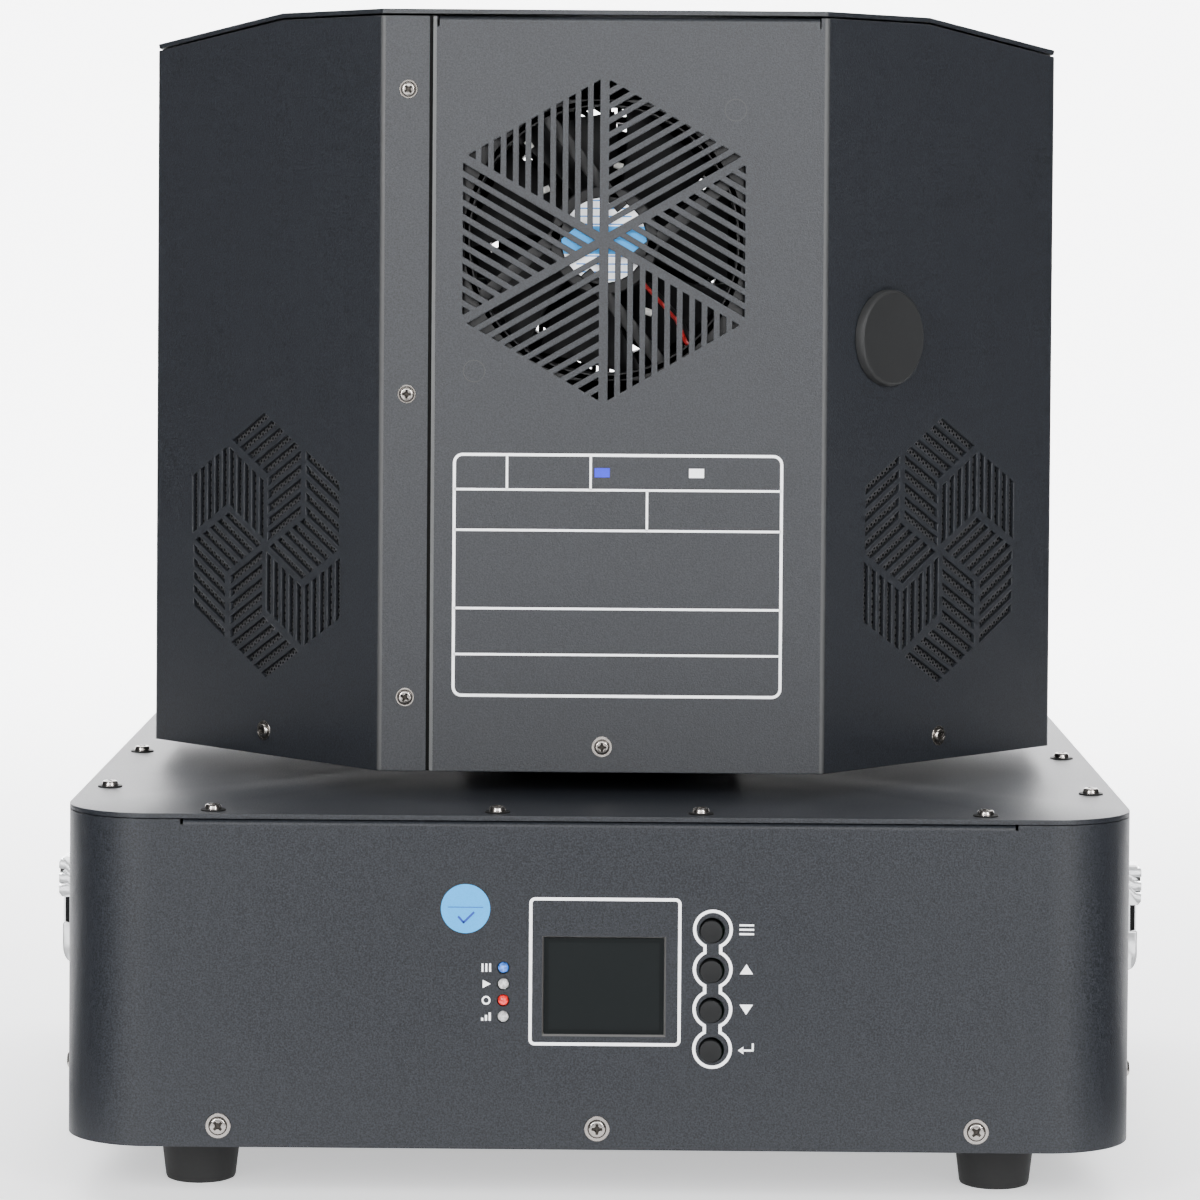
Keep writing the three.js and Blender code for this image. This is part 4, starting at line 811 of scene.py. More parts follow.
class SPARK_OT_base_wall(bpy.types.Operator):
    """The wrapped sheet of the base, with round corners, folded top edges and cut-outs"""

    bl_idname = "spark.base_wall"
    bl_label = "Base wall"

    def execute(self, context):
        sheet = context.scene.spark_sheet
        coat = powder_coat("base_coat", sheet, gloss=sheet.base_gloss)
        walls = Piece()
        holes = {0: self.front_holes(), 2: self.back_holes()}
        corner = self.corner_part()
        for quarter in range(4):
            turn = Matrix.Rotation(quarter * QUARTER, 4, "Z")
            wall = plate_part(self.outline(), -SHEET, 0, holes.get(quarter, ()))
            walls.add(wall, turn @ BASE_FRONT, coat)
            fold = turn @ BASE_FRONT @ at(0, SHELL_HIGH.z - NOTCH_DEPTH)
            walls.add(fold_part(FOLD_HALF * 2), fold, coat)
            walls.add(corner.copy(), turn, coat)
        corner.free()
        for x, z in STUDS:
            walls.add(stud_ring(), BASE_FRONT @ at(x, z), coat)
        walls.done("base_wall", "base", ["base_body_shell"], "powder_coat")
        return {"FINISHED"}

    def outline(self):
        """One flat wall between its round corners, notched for the fold."""
        flat = BASE_HALF - BASE_CORNER
        low, high = SHELL_LOW.z, SHELL_HIGH.z
        notch, ledge = FOLD_HALF + NOTCH_WIDTH, high - NOTCH_DEPTH
        right = [(flat, low), (flat, high), (notch, high), (notch, ledge)]
        return [(-flat, low), *right, *((-x, y) for x, y in right[:0:-1])]

    def front_holes(self):
        low, high = DISPLAY_LOW, DISPLAY_HIGH
        lip = DISPLAY_LIP
        opening = box_points(low.x + lip, low.z + lip, high.x - lip, high.z - lip)
        slip = [value / 2 for value in BUTTON_SHIFT]
        buttons = [wall_hole(f"menu_button_{i}", 4.1, slip=slip) for i in range(1, 5)]
        return [opening, *buttons, *(wall_hole(f"indicator_lamp_{i}", 2.0) for i in range(1, 5))]

    def back_holes(self):
        nodes = ("mains_inlet", "mains_outlet", "signal_inlet", "signal_outlet")
        sockets = [wall_hole(node, 12.1, ROUND, -1) for node in nodes]
        low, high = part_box("power_switch_housing")
        rim = mm(1.7)
        switch = box_points(-high.x + rim, low.z + rim, -low.x - rim, high.z - rim)
        return [*sockets, wall_hole("fuse_holder", 6.3, side=-1), switch]

    def corner_part(self):
        """The round front right corner."""
        centre = BASE_HALF - BASE_CORNER
        outer = arc_points(centre, -centre, BASE_CORNER, -QUARTER, 0, 24)
        inner = arc_points(centre, -centre, BASE_CORNER - SHEET, -QUARTER, 0, 24)
        return plate_part([*outer, *inner[::-1]], SHELL_LOW.z, SHELL_HIGH.z)


class SPARK_OT_base_lid(bpy.types.Operator):
    """The flat lid of the base with its softened rim"""

    bl_idname = "spark.base_lid"
    bl_label = "Base lid"

    def execute(self, context):
        sheet = context.scene.spark_sheet
        coat = powder_coat("lid_coat", sheet, gloss=sheet.base_gloss)
        side = LID_HIGH.x - LID_LOW.x
        outline = rounded_points(side, side, BASE_CORNER, steps=24)
        hole = circle_points(mm(30.4), ROUND)
        lid = plate_part(outline, LID_LOW.z, LID_HIGH.z, [hole], mm(0.45), 3)
        piece = Piece().add(lid, Matrix(), coat)
        piece.done("base_lid", "base", ["base_top_plate"], "powder_coat")
        return {"FINISHED"}


class SPARK_OT_display(bpy.types.Operator):
    """The display window, the four buttons and the four lamps"""

    bl_idname = "spark.display"
    bl_label = "Display, buttons and lamps"

    def execute(self, context):
        dress(["lcd_window"], display_glass("display_glass"))
        # The bezel's lighter grey is a painted highlight on the cut-out's edge
        self.bezel(moulded("bezel_edge_highlight", (0.07, 0.069, 0.067), 0.42))
        dress(["control_board"], circuit_board("control_board_lacquer"))
        black = moulded("button_plastic", (0.006, 0.0065, 0.007), 0.6, 0.5, 0.22)
        radius, root = 3.55, -5
        for number in range(1, 5):
            node = f"menu_button_{number}"
            top = self.stand(node)
            profile = [(0, root), (radius, root), (radius, top - 0.5), (radius - 0.15, top - 0.15)]
            profile += [(radius - 0.5, top), (0, top)]
            cap = turned_part(mm(*profile), ROUND)
            button = Piece().add(cap, self.place(node, *BUTTON_SHIFT), black)
            button.done(f"button_cap_{number}", f"button_{number}", [node], "black_plastic")
        white = (0.6, 0.6, 0.6)
        radius, bulge = 1.75, 0.9
        for number, colour in enumerate(((0.05, 0.2, 0.75), white, (0.8, 0.015, 0.015), white), 1):
            node = f"indicator_lamp_{number}"
            top = self.stand(node)
            dome = arc_points(0, top - radius * bulge, radius, 0, QUARTER, 8)
            profile = [(0, root), (radius, root), *((x, top - (top - y) * bulge) for x, y in dome)]
            glass = lamp_lens(f"lamp_lens_{number}", colour)
            lamp = Piece().add(turned_part(mm(*profile)), self.place(node), glass)
            lamp.done(f"lamp_{number}", "base", [node], "lamp_lens")
        return {"FINISHED"}

    def stand(self, node):
        """How many millimetres a node stands out of the front wall."""
        return (-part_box(node)[0].y - BASE_HALF) / MM

    def place(self, node, right=0.0, up=0.0):
        centre = centre_of(node)
        return BASE_FRONT @ at(centre.x + right, centre.z + up)

    def bezel(self, finish):
        """The sloping edge of the display's cut-out, wider at the foot and narrower at the top,
        painted lighter than the coat as a highlight.
        """
        lip = DISPLAY_LIP * 2
        half_width = (DISPLAY_HIGH.x - DISPLAY_LOW.x - lip) / 2
        half_height = (DISPLAY_HIGH.z - DISPLAY_LOW.z - lip) / 2
        slope, back = mm(1.1), mm(0.1) - SHEET
        part = bmesh.new()
        rings = []
        for inset, level in ((0, 0), (slope, back), (0, back)):
            narrow, wide = inset * 0.6, inset * 1.3
            left, low = narrow - half_width, wide - half_height
            right, high = half_width - inset, half_height - narrow
            corners = box_points(left, low, right, high)
            rings.append([part.verts.new((x, y, level)) for x, y in corners])
        for here, there in zip(rings, (*rings[1:], rings[0])):
            for i in range(4):
                part.faces.new([here[i - 1], here[i], there[i], there[i - 1]])
        place = self.place("lcd_window") @ at(0, 0, mm(-0.02))
        Piece().add(face_out(part), place, finish).done("display_bezel", "base")


# Print, drawn in millimetres


def ring_print(width, height, radius, line, x, y):
    inner = rounded_points(width - line * 2, height - line * 2, radius - line, x, y)
    outer = rounded_points(width, height, radius, x, y)
    return shape_print(outer, inner)


def bar_print(left, low, right, high):
    return shape_print(box_points(left, low, right, high))


def shape_print(points, *holes):
    return plate_part(mm(*points), 0, PRINT_LIFT, [mm(*hole) for hole in holes])


def upright_print(x, low, high, half=0.3):
    return bar_print(x - half, low, x + half, high)


def thick_line(points, width):
    """A printed line along points, drawn as one short bar for each stretch."""
    parts = []
    for start, end in zip(points, points[1:]):
        start, end = Vector(start), Vector(end)
        along = (end - start).normalized() * (width / 2)
        aside = Vector((-along.y, along.x))
        start, end = start - along * 0.6, end + along * 0.6
        corners = (start - aside, end - aside, end + aside, start + aside)
        parts.append(shape_print([tuple(corner) for corner in corners]))
    return parts


def chain_points(centres, radius, neck):
    """Outline of circles above each other that are joined by necks."""
    lean = math.asin(neck / radius)
    right = []
    for i, y in enumerate(centres):
        start = QUARTER - (lean if i > 0 else 0)
        end = -QUARTER + (lean if i < len(centres) - 1 else 0)
        right += arc_points(0, y, radius, start, end, 20)
    return [*right, *((-u, v) for u, v in right[::-1][1:-1])]


def button_symbols():
    """Menu, up, down and enter."""
    yield [bar_print(-2.3, y - 0.3, 2.3, y + 0.3) for y in (-1.4, 0, 1.4)]
    yield [shape_print([(-2.1, -1.5), (2.1, -1.5), (0, 1.7)])]
    yield [shape_print([(-2.1, 1.5), (0, -1.7), (2.1, 1.5)])]
    hook = thick_line([(2.2, 1.7), (2.2, -0.4), (-1, -0.4)], 0.6)
    yield [*hook, shape_print([(-2.5, -0.4), (-0.8, -1.6), (-0.8, 0.8)])]


def lamp_symbols():
    """Heat, run, fault and signal."""
    yield [upright_print(x, -1.3, 1.3) for x in (-1.2, 0, 1.2)]
    yield [shape_print([(-1.1, -1.3), (1.4, 0), (-1.1, 1.3)])]
    yield [shape_print(circle_points(1.4), circle_points(0.85))]
    yield [upright_print(x, -1.3, y, 0.35) for x, y in ((-1.2, -0.4), (0, 0.5), (1.2, 1.3))]


class SPARK_OT_control_print(bpy.types.Operator):
    """Printed frames, rings and plain symbols round the display, and the round sticker"""

    bl_idname = "spark.control_print"
    bl_label = "Control print"

    def execute(self, context):
        settings = context.scene.spark_controls
        line = settings.line / MM
        ink = print_ink("white_ink", settings.print_colour)
        (width, height, corner), middle = (48.2, 47.1, 1.9), (2.2, 75.25)
        sheet = Piece().add(ring_print(width, height, corner, line, *middle), BASE_FRONT, ink)
        buttons = [centre_of(f"menu_button_{i}") for i in range(1, 5)]
        lamps = [centre_of(f"indicator_lamp_{i}") for i in range(1, 5)]
        centres = [centre.z / MM for centre in buttons]
        radius, neck = 6.3, 3
        outer = chain_points(centres, radius, neck)
        inner = chain_points(centres, radius - line, neck - line)
        sheet.add(shape_print(outer, inner), BASE_FRONT @ at(buttons[0].x, 0), ink)
        button_column, lamp_column = 47, -35.4
        for x, places, symbols in (
            (button_column, buttons, button_symbols()),
            (lamp_column, lamps, lamp_symbols()),
        ):
            for centre, symbol in zip(places, symbols):
                for part in symbol:
                    sheet.add(part, BASE_FRONT @ at(mm(x), centre.z), ink)
        sheet.done("control_print", "base")
        self.sticker(print_ink("sticker_paper", settings.sticker_colour))
        return {"FINISHED"}

    def sticker(self, paper):
        mark = print_ink("sticker_ink", (0.005, 0.03, 0.3))
        top_radius, radius = mm(7.75, 7.8)
        rim = [(top_radius, PRINT_LIFT), (radius, 0)]
        disc = turned_part([(0, PRINT_LIFT), *rim, (0, 0)], FINE_ROUND)
        place = BASE_FRONT @ at(*mm(-42.1, 95.0))
        sticker = Piece().add(disc, place, paper)
        tick = thick_line([(-2.2, -2.6), (-0.6, -4.4), (2.6, -1.2)], 0.7)
        for part in (bar_print(-5.6, 0.35, 5.6, 0.6), *tick):
            sticker.add(part, place @ at(0, 0, PRINT_LIFT), mark)
        sticker.done("check_sticker", "base")


class SPARK_OT_handles(bpy.types.Operator):
    """Folding side handles: a bracket with two knuckles and a hanging bail with a flat grip"""

    bl_idname = "spark.handles"
    bl_label = "Side handles"

    def execute(self, context):
        chrome = plated("handle_chrome", (0.8, 0.81, 0.82), 0.14, metallic=0.62)
        bright = plated("handle_arm_chrome", (0.55, 0.56, 0.57), 0.12)
        steel = plated("handle_screw_steel", (0.6, 0.6, 0.61), 0.22)
        shade = recess("handle")
        for side, turn in zip(SIDES, BOTH_TURNS):
            self.bracket(side, turn, chrome, steel, shade)
            self.bail(side, turn, chrome, bright)
        return {"FINISHED"}

    def bracket(self, side, turn, chrome, steel, shade):
        low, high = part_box("handle_bracket_right")
        height, corner, thickness = mm(14.2, 3, 1.5)
        seat = low.x - BASE_HALF
        level = (low.z + high.z) / 2
        outline = rounded_points(high.y - low.y, height, corner, 0, level)
        plate = plate_part(outline, seat, seat + thickness, (), mm(0.4))
        piece = Piece().add(plate, turn @ BASE_RIGHT, chrome)
        half = (high.x - low.x) / 2
        bore = circle_points(mm(3), SMALL_ROUND, half - mm(3.7))
        filler = [(x * 0.94, y * 0.94) for x, y in self.knuckle_points(half, 0)]
        outline = self.knuckle_points(half, mm(2.2))
        place = turn @ at((low.x + high.x) / 2, 0, level) @ LYING
        for end in (-1, 1):
            outside, inside = -end * high.y, -end * (high.y - KNUCKLE_LENGTH)
            joint = outside + end * KNUCKLE_CAP
            back = end * mm(0.5)
            piece.add(plate_part(outline, *sorted((inside, joint)), [bore]), place, chrome)
            # A core in painted shade, seen only in the grooves
            core = plate_part(filler, *sorted((inside - back, outside + back)), [bore])
            piece.add(core, place, shade)
            cap = plate_part(outline, *sorted((joint, outside)))
            soften(cap, rim_lines(cap, outside), mm(0.2))
            piece.add(cap, place, chrome)
        for y in mm(-44, 44):
            head = turn @ BASE_RIGHT @ at(y, level, seat + thickness)
            piece.add(screw_part(*mm(3.4, 1.4)), head, steel, shade)
        piece.done(f"side_handle_bracket_{side}", "base", [f"handle_bracket_{side}"], "chrome")

    def knuckle_points(self, half, groove):
        """End outline of a knuckle: x out of the wall, y up, with a wide and a narrow groove."""
        top, round_off = mm(6.8, 2.4)
        outer = half - mm(0.05)
        points = arc_points(outer - round_off, top - round_off, round_off, QUARTER, 0, 6)
        for high, low in mm((2.7, 1.4), (-2, -2.35)) if groove else ():
            points += [(outer, high), (outer - groove, high), (outer - groove, low), (outer, low)]
        points += [(outer, mm(1.4) - top), (outer - mm(1.1), -top), (-half, -top), (-half, top)]
        return points

    def bail(self, side, turn, chrome, bright):
        low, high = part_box("handle_bail_right")
        pin, rise, tuck, belt, round_off = mm(2.6, 6.8, 3, 1, 1)
        half = (high.x - low.x) / 2 - mm(0.05)
        axis_x, axis_z = (low.x + high.x) / 2, high.z - pin
        grip_z = low.z + rise
        reach = high.y + SEAT_GAP - KNUCKLE_LENGTH - mm(0.6)
        place = turn @ at(axis_x, 0)
        piece = Piece()
        for end in (-1, 1):
            arm = end * (reach - half)
            rod = rod_part(half, grip_z, axis_z + pin * 0.4, mm(1.2))
            piece.add(rod, place @ at(0, arm), bright)
            tip = end * (high.y - KNUCKLE_CAP - mm(0.3))
            path = [(axis_x, arm, axis_z), (axis_x, tip, axis_z)]
            piece.add(wire_part(path, pin, 24), turn, chrome)
        outline = arc_points(half - round_off, rise - round_off, round_off, QUARTER, 0, 4)
        steps = 12
        for i in range(steps + 1):
            angle = i / steps * QUARTER
            across = half - tuck * (1 - math.cos(angle))
            outline.append((across, -belt - (rise - belt) * math.sin(angle)))
        outline += [(-half, -rise), (-half, rise)]
        grip = plate_part(outline, -reach, reach)
        soften(grip, rim_lines(grip, -reach, reach), mm(0.8), 3)
        piece.add(grip, place @ at(0, 0, grip_z) @ LYING, chrome)
        piece.done(f"side_handle_bail_{side}", f"bail_{side}", [f"handle_bail_{side}"], "chrome")


def contact_ring(reach, start=QUARTER):
    """Places of three contacts round the middle of a socket, in millimetres."""
    angles = (start + i * 2 * math.pi / 3 for i in range(3))
    return [(reach * math.cos(angle), reach * math.sin(angle)) for angle in angles]


class SPARK_OT_sockets(bpy.types.Operator):
    """Mains and signal sockets, the fuse holder and the power switch on the back"""

    bl_idname = "spark.sockets"
    bl_label = "Back sockets"

    def execute(self, context):
        nickel = plated("socket_nickel", (0.62, 0.61, 0.58), 0.26)
        self.black = moulded("socket_black", (0.02, 0.02, 0.022), 0.5)
        blue = moulded("socket_blue", (0.03, 0.13, 0.5), 0.45)
        grey = moulded("socket_grey", (0.34, 0.36, 0.37), 0.5)
        self.brass = plated("socket_contact_brass", (0.75, 0.56, 0.28), 0.3)
        self.shade = recess("socket", (0.04, 0.04, 0.04))
        self.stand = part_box("mains_inlet")[1].y - BASE_HALF
        for node, body in (("mains_inlet", blue), ("mains_outlet", grey)):
            piece, place = self.shell(node, 9, body)
            self.pins(piece, place, 9, -16, contact_ring(5), 1.1, -8, 0.3)
            key = block_part(mm(-1.6, 6.6, -16), mm(1.6, 9.1, 0), mm(0.2))
            piece.add(key, place, body)
            self.screwed(piece, place, node, nickel)
        piece, place = self.shell("signal_inlet", 9.3, nickel)
        self.pins(piece, place, 9.3, -15.5, contact_ring(4.6), 1.2, -6.7, 0.5)
        self.screwed(piece, place, "signal_inlet", self.black)
        self.signal_out(nickel)
        self.fuse()
        dress(["power_switch_housing"], self.black)
        dress(["power_switch_rocker"], moulded("rocker_red", (0.42, 0.012, 0.01), 0.35))
        return {"FINISHED"}

    def place(self, node):
        centre = centre_of(node)
        return BASE_BACK @ at(-centre.x, centre.z)

    def shell(self, node, bore, finish):
        """A flange with round corners and a soft rim, and a barrel that sits in the wall."""
        bore, outer, length = mm(bore, SOCKET_BARREL, 21)
        width, height, corner = mm(26, 31, 3)
        high = self.stand - SEAT_GAP
        outline = rounded_points(width, height, corner)
        flange = plate_part(outline, 0, high, [circle_points(bore, ROUND)], mm(0.5), 3)
        tube = [(bore, high - mm(0.01)), (bore, -length), (outer, -length), (outer, mm(0.2))]
        add_mesh(flange, turned_part(tube, ROUND))
        place = self.place(node)
        return Piece().add(flange, place @ at(0, 0, SEAT_GAP), finish), place

    def pins(self, piece, place, bore, floor, places, radius, tip, edge):
        """Three contacts that stand on an insert at the bottom of the bore."""
        piece.add(rod_part(*mm(bore, floor - 2, floor)), place, self.black)
        for x, y in places:
            pin = rod_part(*mm(radius, floor, tip, edge))
            piece.add(pin, place @ at(*mm(x, y)), self.brass)

    def screwed(self, piece, place, node, steel):
        for x, y in mm((-9.5, 12), (9.5, -12)):
            seat = place @ at(x, y, self.stand - mm(0.2))
            piece.add(screw_part(*mm(2.6, 0.25)), seat, steel, self.shade)
        piece.done(f"{node}_socket", "base", [node], "black_plastic")

    def signal_out(self, nickel):
        piece, place = self.shell("signal_outlet", 9.3, nickel)
        face = self.stand - mm(1)
        holes = [circle_points(mm(1.3), 16, *mm(x, y)) for x, y in contact_ring(4.6, -QUARTER)]
        insert = plate_part(circle_points(mm(9.2), ROUND), face - mm(9), face, holes)
        piece.add(insert, place, self.black)
        latch_top = self.stand - mm(0.05)
        latch = block_part(mm(-3.2, 8.6, 0), (*mm(3.2, 12.6), latch_top), mm(0.4))
        piece.add(latch, place, nickel)
        self.screwed(piece, place, "signal_outlet", self.black)

    def fuse(self):
        place = self.place("fuse_holder")
        top = (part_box("fuse_holder")[1].y - BASE_HALF) / MM
        gap = SEAT_GAP / MM
        dish = top - 0.5
        profile = [(6, gap), (8.5, gap), (8.5, dish), (8, top), (5, top), (4.6, dish), (0, dish)]
        cap = turned_part(mm(*profile), ROUND)
        barrel = rod_part(*mm(6, top - 30, gap + 0.1))
        slot = block_part(mm(-4.2, -0.7, top - 1), mm(4.2, 0.7, top - 0.1), mm(0.2))
        piece = Piece()
        for part in (cap, barrel, slot):
            piece.add(part, place, self.black)
        piece.done("fuse_cap", "base", ["fuse_holder"], "black_plastic")


class SPARK_OT_column(bpy.types.Operator):
    """The turntable column that shows between base and head"""

    bl_idname = "spark.column"
    bl_label = "Turntable column"

    def execute(self, context):
        black = plated("column_black", (0.035, 0.036, 0.04), 0.4)
        low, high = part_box("turntable_column")
        bore, neck, hub, soft, hub_length = mm(11.3, 22, 30, 0.4, 24)
        lip = LID_HIGH.z + soft
        ledge = lip - hub_length
        profile = [(bore, low.z), (neck, low.z), (neck, ledge), (hub, ledge), (hub, lip)]
        profile += [(high.x - soft, lip), (high.x, lip + soft), (high.x, high.z - soft)]
        profile += [(high.x - soft, high.z), (bore, high.z)]
        column = Piece().add(turned_part(profile, FINE_ROUND, closed=True), Matrix(), black)
        column.done("turntable_column_skin", "head", ["turntable_column"], "turned_aluminium")
        return {"FINISHED"}


class SPARK_OT_base_screws(bpy.types.Operator):
    """Washer head screws on the base walls and on the lid"""

    bl_idname = "spark.base_screws"
    bl_label = "Base screws"

    def execute(self, context):
        screws = context.scene.spark_screws
        steel = plated("base_screw_nickel", (0.38, 0.355, 0.335), 0.24)
        shade = recess("base", (0.05, 0.045, 0.04))
        head, rim = screws.head / 2, screws.washer / 2
        washer, inset = mm(0.45, 162.5)
        piece = Piece()

        def row(wall, places, height, stand):
            for x in places:
                part = screw_part(head, stand - washer, rim, washer)
                piece.add(part, wall @ at(mm(x), mm(height), 0, x), steel, shade)

        low_row, side_row, upper_row = 25.3, 38.5, 94.5
        for wall in (BASE_FRONT, BASE_BACK):
            row(wall, (-120.2, 0, 120.2), low_row, screws.stand)
        for wall in (BASE_RIGHT, BASE_LEFT):
            row(wall, (-132, 0, 132), side_row, screws.side_stand)
            row(wall, (-87.5, 87.5), upper_row, screws.side_stand)
        # Black lid washers, their black partly a painted shade at the foot of each lid screw
        black = moulded("lid_washer_black", (0.008, 0.008, 0.008), 0.6, 0.5, 0.1)
        for sign in (-1, 1):
            ends = [(mm(x), sign * inset, x) for x in (-123, -32.4, 32.4, 123)]
            sides = [(sign * inset, mm(y), y) for y in (-106.5, -10, 86)]
            for x, y, turn in (*ends, *sides):
                place = LID_TOP @ at(x, y, 0, turn)
                piece.add(rod_part(rim, 0, washer, mm(0.15)), place, black)
                part = screw_part(head, screws.lid_stand - washer)
                piece.add(part, place @ at(0, 0, washer), steel, shade)
        piece.done("base_screws", "base")
        return {"FINISHED"}


# Head pieces


class SPARK_OT_head_sheet(bpy.types.Operator):
    """Powder coat on the head shells and the head bottom plate"""

    bl_idname = "spark.head_sheet"
    bl_label = "Head shells"

    def execute(self, context):
        sheet = context.scene.spark_sheet
        coat = powder_coat("head_coat", sheet, sheet.edge_radius)
        dress([*both_sides("head_shell"), "head_bottom_plate", "base_bottom_plate"], coat)
        dress(both_sides("dust_screen"), perforated("dust_screen_steel"))
        return {"FINISHED"}


class SPARK_OT_head_seams(bpy.types.Operator):
    """The joint between the head shells, filled with a black strip of painted shadow, the bent
    edge beside it and the bends between panel and facets in a lighter coat as painted highlights,
    and the bent-in panel top
    """

    bl_idname = "spark.head_seams"
    bl_label = "Head seams"

    def execute(self, context):
        coat = powder_coat("seam_coat", context.scene.spark_sheet)
        # Lighter coat on the bent edge beside the joint: a painted highlight
        light = moulded("seam_edge_painted_highlight", (0.056, 0.058, 0.059), 0.5, 0.8)
        # Black strip in the joint between the shells: painted shadow in the gap
        joint_shadow = moulded("seam_painted_shadow", (0.003, 0.003, 0.003), 0.9, 0.5, 0.1)
        # The bends between panel and facets get a lighter coat: a painted highlight
        worn = moulded("bend_painted_highlight", (0.03, 0.031, 0.032), 0.5, 0.8)
        piece = Piece()
        low, high = HEAD_LOW.z + mm(0.2), HEAD_HIGH.z - mm(0.1)
        proud, deep = mm(0.03), mm(-0.4)
        left = SEAM_RIGHT + SEAM_BEND + NOTCH_WIDTH
        right = HEAD_FRONT_HALF - mm(2.6)
        rise = HEAD_HIGH.z - NOTCH_DEPTH - mm(0.05)
        for turn in BOTH_TURNS:
            front = turn @ HEAD_FRONT
            for side in (-1, 1):
                piece.add(plate_part(self.bend_points(side), low, high), turn, worn)
            joint = box_points(SEAM_LEFT - mm(0.12), low, SEAM_RIGHT + mm(0.05), high)
            piece.add(plate_part(joint, mm(-0.2), mm(0.025)), front, joint_shadow)
            bend = SEAM_BEND / MM
            slant = mm((0, -0.3), (0, 0.02), (bend, 0.16), (bend, -0.3))
            edge = swapped(plate_part(slant, low, high), ((1, 0, 0), (0, 0, 1), (0, 1, 0)))
            piece.add(edge, front @ at(SEAM_RIGHT, 0), light)
            fold = front @ at((left + right) / 2, rise, proud)
            piece.add(fold_part(right - left), fold, coat)
            skirt = box_points(left, HEAD_HIGH.z - mm(3.5), right, rise)
            piece.add(plate_part(skirt, deep, proud), front, coat)
        piece.done("head_seam", "head")
        return {"FINISHED"}

    def bend_points(self, side):
        """Outline from above of the lighter coat, a painted highlight, on the bend between panel
        and facet, just proud of it.
        """
        inset = BEND_RADIUS * math.tan(FACET_ANGLE / 2)
        centre = (HEAD_FRONT_HALF - inset, BEND_RADIUS - HEAD_HALF_DEPTH)
        ends = (-QUARTER, FACET_ANGLE - QUARTER)
        outer = arc_points(*centre, BEND_RADIUS + mm(0.03), *ends, 8)
        inner = arc_points(*centre, BEND_RADIUS - mm(0.3), *ends, 8)
        return [(side * x, y) for x, y in outer + inner[::-1]]


class SPARK_OT_head_cover(bpy.types.Operator):
    """The top plate of the head: a flat middle and two wings folded down round the nozzles"""

    bl_idname = "spark.head_cover"
    bl_label = "Head cover"

    def execute(self, context):
        coat = powder_coat("cover_coat", context.scene.spark_sheet)
        part = self.flat_sheet()
        bmesh.ops.remove_doubles(part, verts=part.verts[:], dist=1e-6)
        soften(part, [line for line in part.edges if self.is_fold(line)], mm(3), 4)
        face_out(part)
        if sum(face.normal.z for face in part.faces) < 0:
            bmesh.ops.reverse_faces(part, faces=part.faces[:])
        bmesh.ops.solidify(part, geom=part.faces[:], thickness=COVER_THICKNESS)
        upper = max(corner.co.z for corner in part.verts)
        shift(part, part.verts[:], z=HEAD_TOP - mm(0.05) - upper)
        cover = Piece().add(face_out(part), Matrix(), coat)
        cover.done("head_cover", "head", ["head_top_plate"], "powder_coat", crease=40)
        return {"FINISHED"}

    def flat_sheet(self):
        part = bmesh.new()
        fold_y = HEAD_HALF_DEPTH - (WING_FOLD - HEAD_FRONT_HALF) * (FACET_DEPTH / FACET_WIDTH)
        corner, fold = (HEAD_FRONT_HALF, HEAD_HALF_DEPTH), (WING_FOLD, fold_y)
        right = [(corner[0], -corner[1]), (fold[0], -fold[1]), fold, corner]
        middle = [*right, *((-x, -y) for x, y in right)]
        part.faces.new([part.verts.new((x, y, HEAD_TOP)) for x, y in middle])
        tip = [(WING_LENGTH, -HEAD_SIDE_HALF), (WING_LENGTH, HEAD_SIDE_HALF)]
        wing = [(0, -fold_y), *tip, (0, fold_y)]
        hole = circle_points(mm(15.3), ROUND, WING_LENGTH / 2, 0)
        for turn in BOTH_TURNS:
            flap = bmesh.new()
            for points in (wing, hole):
                closed_ring(flap, points, 0)
            fill(flap, flap.edges[:])
            add_mesh(part, flap, turn @ WING_RIGHT)
        return part

    def is_fold(self, line):
        at_fold = all(abs(abs(corner.co.x) - WING_FOLD) < 1e-5 for corner in line.verts)
        return at_fold and len(line.link_faces) == 2


class SPARK_OT_head_print(bpy.types.Operator):
    """Empty printed table on the head front, with its two tick boxes"""

    bl_idname = "spark.head_print"
    bl_label = "Head print"

    def execute(self, context):
        settings = context.scene.spark_controls
        ink = print_ink("table_ink", settings.print_colour)
        blue = print_ink("tick_box_ink", (0.0, 0.006, 0.6))
        line = settings.line / MM * 0.95
        half = line * 0.4
        left, right, low, high = -48.9, 59.2, 156.9, 236.9
        middle, corner = ((left + right) / 2, (low + high) / 2), 3.2
        rules = (225.0, 211.7, 186.0, 170.9)
        columns = ((-31.2, 225.0, 236.0), (-3.8, 225.0, 236.0), (14.7, 211.7, 225.0))
        box_width, box_low, box_high = 4.9, 229.2, 232.2
        parts = [(ring_print(right - left, high - low, corner, line, *middle), ink)]
        for z in rules:
            parts.append((bar_print(left + line / 2, z - half, right - line / 2, z + half), ink))
        for x, bottom, top in columns:
            parts.append((upright_print(x, bottom, top, half), ink))
        for x, finish in ((-2.5, blue), (28.4, ink)):
            parts.append((bar_print(x, box_low, x + box_width, box_high), finish))
        table = Piece()
        for part, finish in parts:
            table.add(part, HEAD_FRONT, finish)
        table.done("head_table_print", "head")
        return {"FINISHED"}


